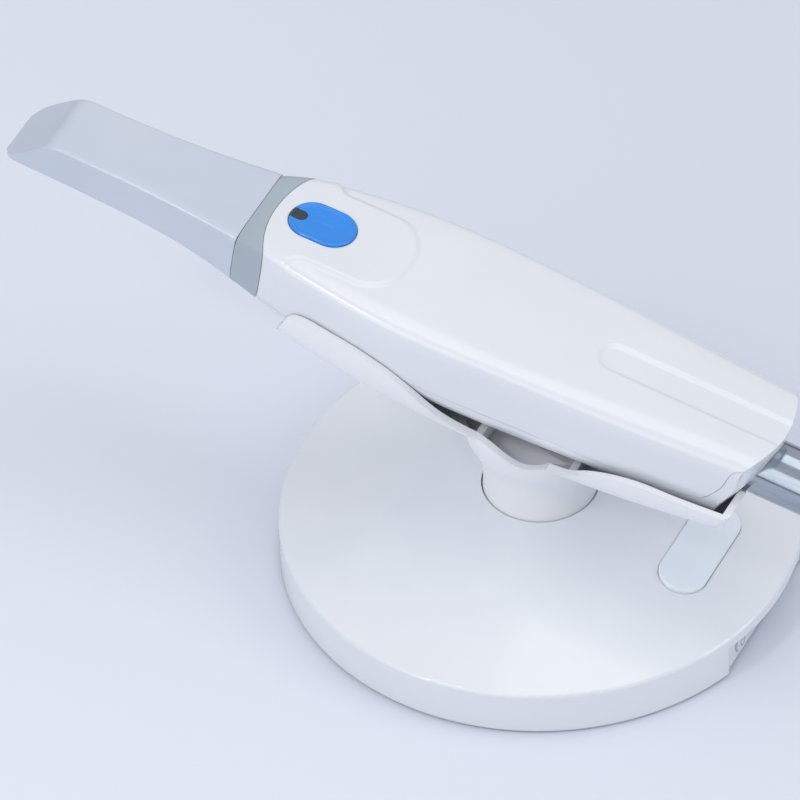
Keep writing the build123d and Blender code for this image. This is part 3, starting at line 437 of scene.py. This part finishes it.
# the upper housing: a shell that follows the section, with soft island, thumb groove and button hole
# millimetres in the handpiece's frame; rearLine is the joint with the end cap as height and place
upperHousing = {
    "frontPlace": -79.6, "frontCrown": 32.7, "frontGap": 0.10,
    "partingHeight": -1.95, "seam": 0.03, "rearCrown": 33.5, "rearStart": 60.0, "rounds": 30,
    "rearLine": (
        (-1.95, 51.95), (-1.75, 54.30), (-1.55, 56.20), (-1.40, 57.36), (-1.30, 58.45), (-1.0, 59.69),
        (-0.6, 60.60), (0.0, 61.48), (0.8, 62.31), (1.6, 62.97), (2.8, 63.81), (4.0, 64.58),
        (6.0, 65.69), (8.0, 66.38), (10.0, 66.78), (12.0, 67.23), (13.0, 67.85), (13.5, 68.35),
        (14.0, 69.60), (14.5, 69.97), (15.4, 70.08), (17.0, 70.10),
    ),
    "islandRise": 0.5, "islandHalfWidth": 13.4, "islandStraight": (-64.0, -50.0), "islandRear": -39.6,
    "islandFlare": (-69.0, 19.6), "islandFar": (-100.0, 40.0), "islandSoft": 0.85, "islandSteps": 16,
    "grooveFront": 16.0, "grooveLead": 5.0, "grooveHalfWidth": 4.4, "grooveFloor": 15.5, "grooveSoft": 0.75,
    "rowSpans": ((0.0, 0.29, 108), (0.29, 0.615, 44), (0.615, 0.69, 26), (0.69, 1.0, 46)),
    "sideLines": 16, "sideCrowd": 2.2, "ridgeLines": 26, "topLines": 56,
    "wall": 2.0, "holeLength": 19.1, "holeWidth": 13.5, "holePlace": -65.9, "holeHeights": (10.0, 20.0),
}


def sagOf(radius, side):
    # how far a crowned edge falls back at a distance from the middle
    return radius - np.sqrt(radius**2 - side**2)


def outlineDistance(outline, place, side):
    # signed distance from points to a closed outline, above zero inside
    points = np.asarray(outline)
    best = np.full(place.shape, 1e9)
    inside = np.zeros(place.shape, bool)
    for (x0, y0), (x1, y1) in zip(points, np.roll(points, -1, axis=0)):
        length = (x1 - x0) ** 2 + (y1 - y0) ** 2
        if length == 0:
            continue
        share = np.clip(((place - x0) * (x1 - x0) + (side - y0) * (y1 - y0)) / length, 0, 1)
        gap = np.hypot(place - x0 - share * (x1 - x0), side - y0 - share * (y1 - y0))
        best = np.minimum(best, gap)
        crosses = (y0 > side) != (y1 > side)
        if y1 != y0:
            inside ^= crosses & (place < (x1 - x0) * (side - y0) / (y1 - y0) + x0)
    return np.where(inside, best, -best)


def islandOutline(look):
    half, (front, rear) = look["islandHalfWidth"], look["islandStraight"]
    (flarePlace, flareSide), (farPlace, farSide) = look["islandFlare"], look["islandFar"]
    turns = np.linspace(0, math.pi / 2, look["islandSteps"] + 1)
    end = [(rear + (look["islandRear"] - rear) * math.sin(t), half * math.cos(t)) for t in turns]
    flare = [
        (front - (front - flarePlace) * math.sin(t), flareSide - (flareSide - half) * math.cos(t))
        for t in turns
    ]
    far = [(farPlace, farSide), (flarePlace, farSide)] + flare[::-1] + end
    return far + [(x, -y) for x, y in far[::-1]]


def makeUpperHousing(look):
    # lines run lengthwise, from the parting over the ridge to the crest; rows run across them
    count = look["sideLines"] + look["ridgeLines"] + look["topLines"]
    rows = spacedRows(*look["rowSpans"])
    parting = look["partingHeight"] + look["seam"]

    def sectionAt(place):
        # side and height of every line at places given line by line: one row of lines per place
        width, top, depth, topPull, lowPull = bodySizes(place)
        edge = lastShare(lambda share: lowerCurve(width, depth, lowPull, share)[1] > parting, place)
        side, height, raised = (np.empty_like(place) for _ in range(3))
        for line in range(count + 1):
            wide, high, deep = width[:, line], top[:, line], depth[:, line]
            if line <= look["sideLines"]:
                share = edge[:, line] * (1 - (line / look["sideLines"]) ** look["sideCrowd"])
                side[:, line], height[:, line] = lowerCurve(wide, deep, lowPull[:, line], share)
                raised[:, line] = height[:, line]
                continue
            past = line - look["sideLines"]
            if past <= look["ridgeLines"]:
                share = 0.5 * past / look["ridgeLines"]
            else:
                share = 0.5 + 0.5 * (past - look["ridgeLines"]) / look["topLines"]
            share = np.full(place.shape[0], share)
            side[:, line], height[:, line] = upperCurve(wide, high, topPull[:, line], share)
            raised[:, line] = upperCurve(wide, high + look["islandRise"], topPull[:, line], share)[1]
        return side, height, raised

    # each line's two ends lie on the crowned joints, found by going back and forth
    rearHeights, rearPlaces = zip(*look["rearLine"])
    start = np.full((len(rows), count + 1), look["frontPlace"])
    end = np.full((len(rows), count + 1), look["rearStart"])
    for _ in range(look["rounds"]):
        side = sectionAt(start)[0]
        start = look["frontPlace"] + look["frontGap"] + sagOf(look["frontCrown"], side)
        side, height, _ = sectionAt(end)
        reach = np.interp(height, rearHeights, rearPlaces)
        end = 0.5 * end + 0.5 * (reach - look["seam"] - sagOf(look["rearCrown"], side))
    place = start + rows[:, None] * (end - start)
    side, height, raised = sectionAt(place)
    onIsland = softStep(outlineDistance(islandOutline(look), place, side), look["islandSoft"])
    height = height + (raised - height) * onIsland
    centre = look["grooveFront"] + look["grooveHalfWidth"]
    inGroove = look["grooveHalfWidth"] - np.hypot(np.minimum(place - centre, 0.0), side)
    inGroove = softStep(inGroove, look["grooveSoft"]) * (place > look["grooveFront"] - look["grooveLead"])
    height = height + (np.minimum(height, look["grooveFloor"]) - height) * inGroove
    # the other half is the mirror of the first
    place = np.hstack((place, place[:, -2::-1]))
    side = np.hstack((-side, side[:, -2::-1]))
    height = np.hstack((height, height[:, -2::-1]))
    spots = np.stack(toWorld(place, side, height), axis=-1)
    long, wide = place.shape
    faces = [
        (row * wide + k, (row + 1) * wide + k, (row + 1) * wide + k + 1, row * wide + k + 1)
        for row in range(long - 1) for k in range(wide - 1)
    ]
    return meshPiece("upperHousing", spots.reshape(-1, 3), faces, "whitePlastic")


def slotOutline(length, width, centre, steps=20):
    # a stadium along the handpiece, as places and sides
    reach, radius = (length - width) / 2, width / 2
    turns = np.linspace(-math.pi / 2, math.pi / 2, steps + 1)
    rear = [(centre + reach + radius * math.cos(t), radius * math.sin(t)) for t in turns]
    front = [(centre - reach - radius * math.cos(t), -radius * math.sin(t)) for t in turns]
    return rear + front


def prismPiece(name, outline, bottom, top, finish):
    # an upright prism in the handpiece's frame
    count = len(outline)
    spots = [toWorld(x, y, bottom) for x, y in outline] + [toWorld(x, y, top) for x, y in outline]
    faces = [(k, (k + 1) % count, count + (k + 1) % count, count + k) for k in range(count)]
    faces += [tuple(range(count))[::-1], tuple(range(count, 2 * count))]
    piece = meshPiece(name, spots, faces, finish)
    faceOut(piece)
    return piece


def cutWith(piece, cutter, operation="DIFFERENCE"):
    # the cutter is used up
    modifier = piece.modifiers.new("cut", "BOOLEAN")
    modifier.operation, modifier.solver, modifier.object = operation, "EXACT", cutter
    bakeModifiers(piece)
    bpy.data.objects.remove(cutter)


upperPiece = makeUpperHousing(upperHousing)
faceOut(upperPiece)
solid = upperPiece.modifiers.new("wall", "SOLIDIFY")
solid.thickness = upperHousing["wall"] * millimetre
solid.offset, solid.use_even_offset = -1.0, False
bakeModifiers(upperPiece)
holeOutline = slotOutline(*(upperHousing[key] for key in ("holeLength", "holeWidth", "holePlace")))
cutWith(upperPiece, prismPiece("holeCutter", holeOutline, *upperHousing["holeHeights"], "whitePlastic"))
smoothShade(upperPiece)
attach(upperPiece, "station")
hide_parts("top_housing")
print("upper housing made:", len(upperPiece.data.polygons), "faces")

# the scan button: rounded edge, a lip a little inside it, and a slightly dished top
# profile pairs are how far in from the outline and how far below the button's highest ring
scanButton = {
    "place": -65.9, "length": 18.8, "width": 13.2, "proud": 1.1, "foot": 12.6, "steps": 26,
    "flange": 1.0, "flangeTop": 13.5,
    "profile": (
        (0.0, 0.62), (0.03, 0.42), (0.12, 0.22), (0.26, 0.08), (0.45, 0.0), (0.7, 0.0), (0.9, 0.03),
        (1.05, 0.1), (1.2, 0.2), (1.35, 0.26), (1.6, 0.29), (2.1, 0.31), (2.8, 0.34), (3.8, 0.38),
        (4.8, 0.41), (5.8, 0.43), (6.4, 0.43),
    ),
    "slotLength": 4.8, "slotWidth": 3.6, "slotDepth": 1.5, "slotSteps": 24, "slotLead": 12.0,
    "slotOver": 2.0, "windowGap": 0.05, "windowSink": 0.10,
}


def crestAt(place, side):
    # the raised section's height over a place and a side
    width, top, _, topPull, _ = bodySizes(place)
    outside = lastShare(lambda share: upperCurve(width, top, topPull, share)[0] > np.abs(side), place)
    return upperCurve(width, top, topPull, outside)[1]


def makeScanButton(look):
    def outlineAt(grow):
        sizes = (look["length"] + 2 * grow, look["width"] + 2 * grow, look["place"], look["steps"])
        return np.array(slotOutline(*sizes)).T

    rings = []
    for grow, level in ((look["flange"], "foot"), (look["flange"], "flangeTop"), (0.0, "flangeTop")):
        place, side = outlineAt(grow)
        rings.append(np.stack(toWorld(place, side, np.full(len(place), look[level])), axis=-1))
    for inset, drop in look["profile"]:
        place, side = outlineAt(-inset)
        height = crestAt(place, side) + look["proud"] - drop
        rings.append(np.stack(toWorld(place, side, height), axis=-1))
    around = len(rings[0])
    faces = ringFaces(len(rings), around) + [tuple(range(around))[::-1]]
    # the last ring is closed by quads across it
    last = (len(rings) - 1) * around
    faces += [
        (last + k, last + k + 1, last + around - 2 - k, last + around - 1 - k)
        for k in range(around // 2 - 1)
    ]
    piece = meshPiece("pressButton", np.concatenate(rings), faces, "buttonBlue")
    faceOut(piece)
    return piece


def slotPrism(name, look, gap, depth, finish):
    # the prism of the slot at the button's front end, with a rounded rear
    rear = look["place"] - look["length"] / 2 + look["slotLength"] - gap
    radius = look["slotWidth"] / 2 - gap
    turns = np.linspace(-math.pi / 2, math.pi / 2, look["slotSteps"] + 1)
    outline = [(rear - radius + radius * math.cos(t), radius * math.sin(t)) for t in turns]
    outline += [(rear - look["slotLead"], radius), (rear - look["slotLead"], -radius)]
    top = bodyForm["top"] + look["proud"]
    return prismPiece(name, outline, top - depth, top + look["slotOver"], finish)


buttonPiece = makeScanButton(scanButton)
slotDepth, windowGap = scanButton["slotDepth"], scanButton["windowGap"]
windowPiece = slotPrism("lightWindow", scanButton, windowGap, slotDepth - windowGap, "darkWindow")
# the window takes the button's own top, a little lower
buttonCopy = buttonPiece.copy()
buttonCopy.data = buttonPiece.data.copy()
scene.collection.objects.link(buttonCopy)
cutWith(windowPiece, buttonCopy, "INTERSECT")
sink = Vector((slopeSin, 0, slopeCos)) * -scanButton["windowSink"] * millimetre
for vertex in windowPiece.data.vertices:
    vertex.co += sink
windowPiece.data.materials.clear()
windowPiece.data.materials.append(materials["darkWindow"])
for polygon in windowPiece.data.polygons:
    polygon.material_index = 0
cutWith(buttonPiece, slotPrism("slotCutter", scanButton, 0.0, slotDepth, "buttonBlue"))
smoothShade(buttonPiece, 40.0)
smoothShade(windowPiece, 30.0)
for piece, node, slot in (
    (buttonPiece, "scan_button", "button_plastic"), (windowPiece, "button_light", "dark_window")
):
    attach(piece, "scan_key")
    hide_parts(node)
print("scan button and its window made")

# the pull-off tip: its section from mouth to nose, with a rounded bevel and rounded nose corners
# crestSoft and cornerSoft round the outside; inside, the two small ones keep the wall even
scanTip = {
    "mouth": -84.18, "length": 70.82, "halfWidth": 14.3, "top": 13.3, "depth": 7.2, "corners": 3,
    "shares": (
        (0.000, 1.000, 1.000, 1.00, 0.60, 0.81), (0.065, 0.955, 0.985, 0.78, 0.66, 0.84),
        (0.150, 0.900, 0.965, 0.54, 0.72, 0.89), (0.290, 0.830, 0.940, 0.30, 0.78, 0.95),
        (0.500, 0.765, 0.918, 0.20, 0.84, 0.98), (0.750, 0.740, 0.908, 0.12, 0.88, 1.00),
        (1.000, 0.735, 0.925, 0.10, 0.88, 1.00), (1.030, 0.735, 0.925, 0.10, 0.88, 1.00),
    ),
    "bevelTurn": 42.0, "bevelStart": -141.5, "bevelCrest": 11.9, "crestSoft": 2.6, "crestShare": 0.8,
    "cornerPlace": -149.5, "cornerSide": 5.1, "cornerRadius": 5.5, "cornerSoft": 0.7,
    "innerCrestSoft": 0.4, "innerCornerSoft": 0.1, "hair": 0.01, "farSide": 99.0,
    "chinPlace": -153.8, "chinRadius": 1.2, "outerEnd": -154.82,
    "wall": 1.4, "innerEnd": -151.75, "upperLines": 44, "lowerLines": 22,
    "rowTurns": (-130.0, -139.0), "rowCounts": (52, 16, 60),
    "windowPlace": -145.6, "windowLength": 12.0, "windowWidth": 13.4, "windowRound": 1.5,
    "windowFoot": -6.0,
}


def softMin(one, two, softness):
    # the smaller of two values, blended where they are close
    share = np.clip(0.5 + 0.5 * (two - one) / softness, 0, 1)
    return two + (one - two) * share - softness * share * (1 - share)


def tipRings(look, inset, end):
    # rings of points from the mouth to the nose, moved in by the inset
    marks = (look["mouth"], *look["rowTurns"], end)
    places = spacedRows(*zip(marks, marks[1:], look["rowCounts"]))
    knots = [look["mouth"] - row[0] * look["length"] for row in look["shares"]][::-1]
    scales = (look["halfWidth"], look["top"], look["depth"], 1.0, 1.0)
    width, top, depth, topPull, lowPull = (
        scale * smoothThrough(knots, [row[column + 1] for row in look["shares"]][::-1], places)
        for column, scale in enumerate(scales)
    )
    width, top, depth = width - inset, top - inset, depth - inset
    outside, hair = inset == 0, look["hair"]
    crestSoft = look["crestSoft"] if outside else look["innerCrestSoft"]
    cornerSoft = look["cornerSoft"] if outside else look["innerCornerSoft"]
    turn = math.radians(look["bevelTurn"])
    bevel = look["bevelCrest"] - inset / math.cos(turn) - (look["bevelStart"] - places) * math.tan(turn)
    radius = look["cornerRadius"] - inset
    past = np.clip(look["cornerPlace"] - places, 0, radius - hair)
    flank = np.where(past > 0, look["cornerSide"] + np.sqrt(radius**2 - past**2), look["farSide"])
    chin = np.clip(look["chinPlace"] - places, 0, look["chinRadius"] - hair) * outside
    bottom = -depth + sagOf(look["chinRadius"], chin)
    crest = np.minimum(crestSoft, look["crestShare"] * np.maximum(bevel - bottom, 2 * hair))
    halves = []
    for line in range(look["upperLines"] + look["lowerLines"] + 1):
        if line <= look["upperLines"]:
            share = np.full(len(places), 1 - line / look["upperLines"])
            side, height = upperCurve(width, top, topPull, share, look["corners"])
        else:
            share = np.full(len(places), (line - look["upperLines"]) / look["lowerLines"])
            side, height = lowerCurve(width, depth, lowPull, share)
        height = np.maximum(softMin(height, bevel, crest), bottom)
        side = softMin(side, flank, cornerSoft)
        halves.append((np.maximum(side, 0) if 0 < line else side * 0, height))
    halves[-1] = (halves[-1][0] * 0, halves[-1][1])
    near = [toWorld(places, side, height) for side, height in halves]
    far = [toWorld(places, -side, height) for side, height in halves[1:-1][::-1]]
    return np.stack([np.stack(spot, axis=-1) for spot in near + far], axis=1)


def makeScanTip(look):
    outer, inner = tipRings(look, 0.0, look["outerEnd"]), tipRings(look, look["wall"], look["innerEnd"])
    rings = np.concatenate((outer[::-1], inner))
    around = rings.shape[1]
    faces = ringFaces(len(rings), around)
    # both noses are closed by quads across them
    for base in (0, (len(rings) - 1) * around):
        faces += [
            (base + k, base + k + 1, base + (around - k - 1) % around, base + (around - k) % around)
            for k in range(around // 2)
        ]
    piece = meshPiece("scanTip", rings.reshape(-1, 3), faces, "tipPlastic")
    faceOut(piece)
    return piece


def roundedRectangle(length, width, radius, centre, step=15):
    # places and sides round the outline, a corner at a time
    corners = ((1, 1, 0), (-1, 1, 90), (-1, -1, 180), (1, -1, 270))
    return [
        (
            centre + x * (length / 2 - radius) + radius * math.cos(math.radians(turn + past)),
            y * (width / 2 - radius) + radius * math.sin(math.radians(turn + past)),
        )
        for x, y, turn in corners for past in range(0, 91, step)
    ]


tipPiece = makeScanTip(scanTip)
windowOutline = roundedRectangle(
    scanTip["windowLength"], scanTip["windowWidth"], scanTip["windowRound"], scanTip["windowPlace"]
)
windowHeights = (scanTip["windowFoot"], scanTip["wall"])
cutWith(tipPiece, prismPiece("tipCutter", windowOutline, *windowHeights, "tipPlastic"))
smoothShade(tipPiece, 40.0)
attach(tipPiece, "tip")
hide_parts("tip_shell")
print("tip made:", len(tipPiece.data.polygons), "faces")

# the sign on the power button: an open ring with a bar, as a raised line
powerSign = {
    "place": (0.0659, -0.0147, 0.0052), "radius": 0.00125, "line": 0.00014, "flatness": 0.5,
    "openTurn": 65.0, "barTop": 0.00165, "barFoot": 0.0003, "ringPoints": 48, "linePoints": 10,
}


def linkNodes(tree, *pairs):
    for (node, output), (other, entry) in pairs:
        tree.links.new(node.outputs[output], other.inputs[entry])


def makePowerSign(look):
    tree = bpy.data.node_groups.new("powerSignTree", "GeometryNodeTree")
    tree.interface.new_socket("Radius", in_out="INPUT", socket_type="NodeSocketFloat")
    tree.interface.new_socket("Line", in_out="INPUT", socket_type="NodeSocketFloat")
    tree.interface.new_socket("Geometry", in_out="OUTPUT", socket_type="NodeSocketGeometry")
    entry = addNode(tree, "NodeGroupInput", (-800, 0))
    ring = addNode(tree, "GeometryNodeCurveArc", (-500, 200))
    ring.inputs["Resolution"].default_value = look["ringPoints"]
    ring.inputs["Start Angle"].default_value = math.radians(90 + look["openTurn"] / 2)
    ring.inputs["Sweep Angle"].default_value = math.radians(360 - look["openTurn"])
    bar = addNode(tree, "GeometryNodeCurvePrimitiveLine", (-500, -100))
    bar.inputs["Start"].default_value = (0, look["barFoot"], 0)
    bar.inputs["End"].default_value = (0, look["barTop"], 0)
    both = addNode(tree, "GeometryNodeJoinGeometry", (-250, 100))
    rim = addNode(tree, "GeometryNodeCurvePrimitiveCircle", (-250, -200))
    rim.inputs["Resolution"].default_value = look["linePoints"]
    tube = addNode(tree, "GeometryNodeCurveToMesh", (0, 0))
    tube.inputs["Fill Caps"].default_value = True
    realize = addNode(tree, "GeometryNodeRealizeInstances", (200, 0))
    finish = addNode(tree, "GeometryNodeSetMaterial", (400, 0))
    finish.inputs["Material"].default_value = materials["signGrey"]
    leave = addNode(tree, "NodeGroupOutput", (600, 0))
    linkNodes(
        tree,
        ((entry, "Radius"), (ring, "Radius")), ((entry, "Line"), (rim, "Radius")),
        ((ring, "Curve"), (both, "Geometry")), ((bar, "Curve"), (both, "Geometry")),
        ((both, "Geometry"), (tube, "Curve")), ((rim, "Curve"), (tube, "Profile Curve")),
        ((tube, "Mesh"), (realize, "Geometry")), ((realize, "Geometry"), (finish, "Geometry")),
        ((finish, "Geometry"), (leave, "Geometry")),
    )
    piece = meshPiece("powerSign", [], [], "signGrey")
    modifier = piece.modifiers.new("sign", "NODES")
    modifier.node_group = tree
    for item in tree.interface.items_tree:
        if item.in_out == "INPUT":
            modifier[item.identifier] = look[item.name.lower()]
    bakeModifiers(piece)
    # the sign's own X runs to +Y of the scene and its Y upwards, flat on the button's face
    spot = look["place"]
    for vertex in piece.data.vertices:
        x, y, z = vertex.co
        vertex.co = (spot[0] + look["flatness"] * z, spot[1] + x, spot[2] + y)
    return piece


signPiece = makePowerSign(powerSign)
faceOut(signPiece)
smoothShade(signPiece)
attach(signPiece, "power_key")
print("power sign made")

# the floor's colour is painted lighter near and darker far, a painted falloff of light, along the camera's
# own direction in plan
floorLook = {
    "size": 4.0, "near": (226, 230, 241), "far": (212, 218, 231), "roughness": 0.7,
    "turn": 27.0, "gradientStart": -0.25, "gradientEnd": 0.30,
}
bpy.ops.mesh.primitive_plane_add(size=floorLook["size"])
floor = bpy.context.object
floor.name = "floor"
floorMaterial, floorTree, floorShader, floorPlace = startMaterial("floorPaper")
setInputs(floorShader, Roughness=floorLook["roughness"])
floorTurn = addNode(floorTree, "ShaderNodeMapping", (-700, 0))
floorTurn.inputs["Rotation"].default_value = (0.0, 0.0, math.radians(floorLook["turn"]))
floorSplit = addNode(floorTree, "ShaderNodeSeparateXYZ", (-500, 0))
floorTree.links.new(floorPlace, floorTurn.inputs["Vector"])
floorTree.links.new(floorTurn.outputs["Vector"], floorSplit.inputs["Vector"])
floorFalloffShare = rangeOn(
    floorTree, floorSplit.outputs["Y"], 0.0, 1.0, (-300, 0),
    floorLook["gradientStart"], floorLook["gradientEnd"],
)
# painted light falloff: the near colour lighter, the far colour darker
floorPaintedFalloff = rampOn(
    floorTree, floorFalloffShare, shade(*floorLook["near"]), shade(*floorLook["far"]), 0.0, 1.0, (-100, 0)
)
floorTree.links.new(floorPaintedFalloff, floorShader.inputs["Base Color"])
floor.data.materials.append(floorMaterial)

# the studio's walls are darker near the floor, which gives metal its dark bands
worldLook = {
    "colour": (240, 241, 244), "horizon": (150, 156, 168), "rampStart": 0.05, "rampEnd": 0.40,
    "strength": 0.79,
}
world = bpy.data.worlds.new("studio")
world.use_nodes = True
worldTree = world.node_tree
background = worldTree.nodes["Background"]
background.inputs["Strength"].default_value = worldLook["strength"]
worldPlace = addNode(worldTree, "ShaderNodeTexCoord", (-900, 0))
worldSplit = addNode(worldTree, "ShaderNodeSeparateXYZ", (-700, 0))
worldTree.links.new(worldPlace.outputs["Generated"], worldSplit.inputs["Vector"])
worldColour = rampOn(
    worldTree, worldSplit.outputs["Z"], shade(*worldLook["horizon"]), shade(*worldLook["colour"]),
    worldLook["rampStart"], worldLook["rampEnd"], (-400, 0),
)
worldTree.links.new(worldColour, background.inputs["Color"])
scene.world = world

lamps = {
    "overhead": {"place": (0.1, 0.35, 1.6), "aim": (0, 0, 0.05), "size": 0.9, "power": 2.9},
    "frontFill": {"place": (-0.5, -1.5, 0.9), "aim": (0, 0, 0.05), "size": 1.5, "power": 6.8},
    "ridgeLight": {"place": (-0.42, -0.85, 1.25), "aim": (-0.05, 0, 0.09), "size": 0.2, "power": 2.4},
    "rearRim": {"place": (1.3, 0.2, 0.8), "aim": (0, 0, 0.05), "size": 0.8, "power": 4.0},
}
for name, lamp in lamps.items():
    data = bpy.data.lights.new(name, "AREA")
    data.size = lamp["size"]
    data.energy = lamp["power"]
    source = bpy.data.objects.new(name, data)
    source.location = lamp["place"]
    aim = Vector(lamp["aim"]) - Vector(lamp["place"])
    source.rotation_mode = "QUATERNION"
    source.rotation_quaternion = aim.to_track_quat("-Z", "Y")
    scene.collection.objects.link(source)

# the photograph's viewing angle, in degrees, from a long way off with a long lens
viewpoint = {
    "azimuth": 27.41, "elevation": 44.09, "roll": 1.90,
    "place": (0.8387, -1.6968, 1.8889), "lens": 450.0, "clipEnd": 20.0,
}
azimuth = math.radians(viewpoint["azimuth"])
elevation = math.radians(viewpoint["elevation"])
roll = math.radians(viewpoint["roll"])
right = Vector((math.cos(azimuth), math.sin(azimuth), 0.0))
back = Vector((
    math.sin(azimuth) * math.cos(elevation), -math.cos(azimuth) * math.cos(elevation), math.sin(elevation)
))
up = back.cross(right)
across = right * math.cos(roll) - up * math.sin(roll)
upright = back.cross(across)
cameraData = bpy.data.cameras.new("camera")
cameraData.lens = viewpoint["lens"]
cameraData.clip_end = viewpoint["clipEnd"]
camera = bpy.data.objects.new("camera", cameraData)
scene.collection.objects.link(camera)
turn = Matrix((across, upright, back)).transposed().to_4x4()
camera.matrix_world = Matrix.Translation(viewpoint["place"]) @ turn
scene.camera = camera
print("stage, light and camera made")

print("intraoral scanner: ready")
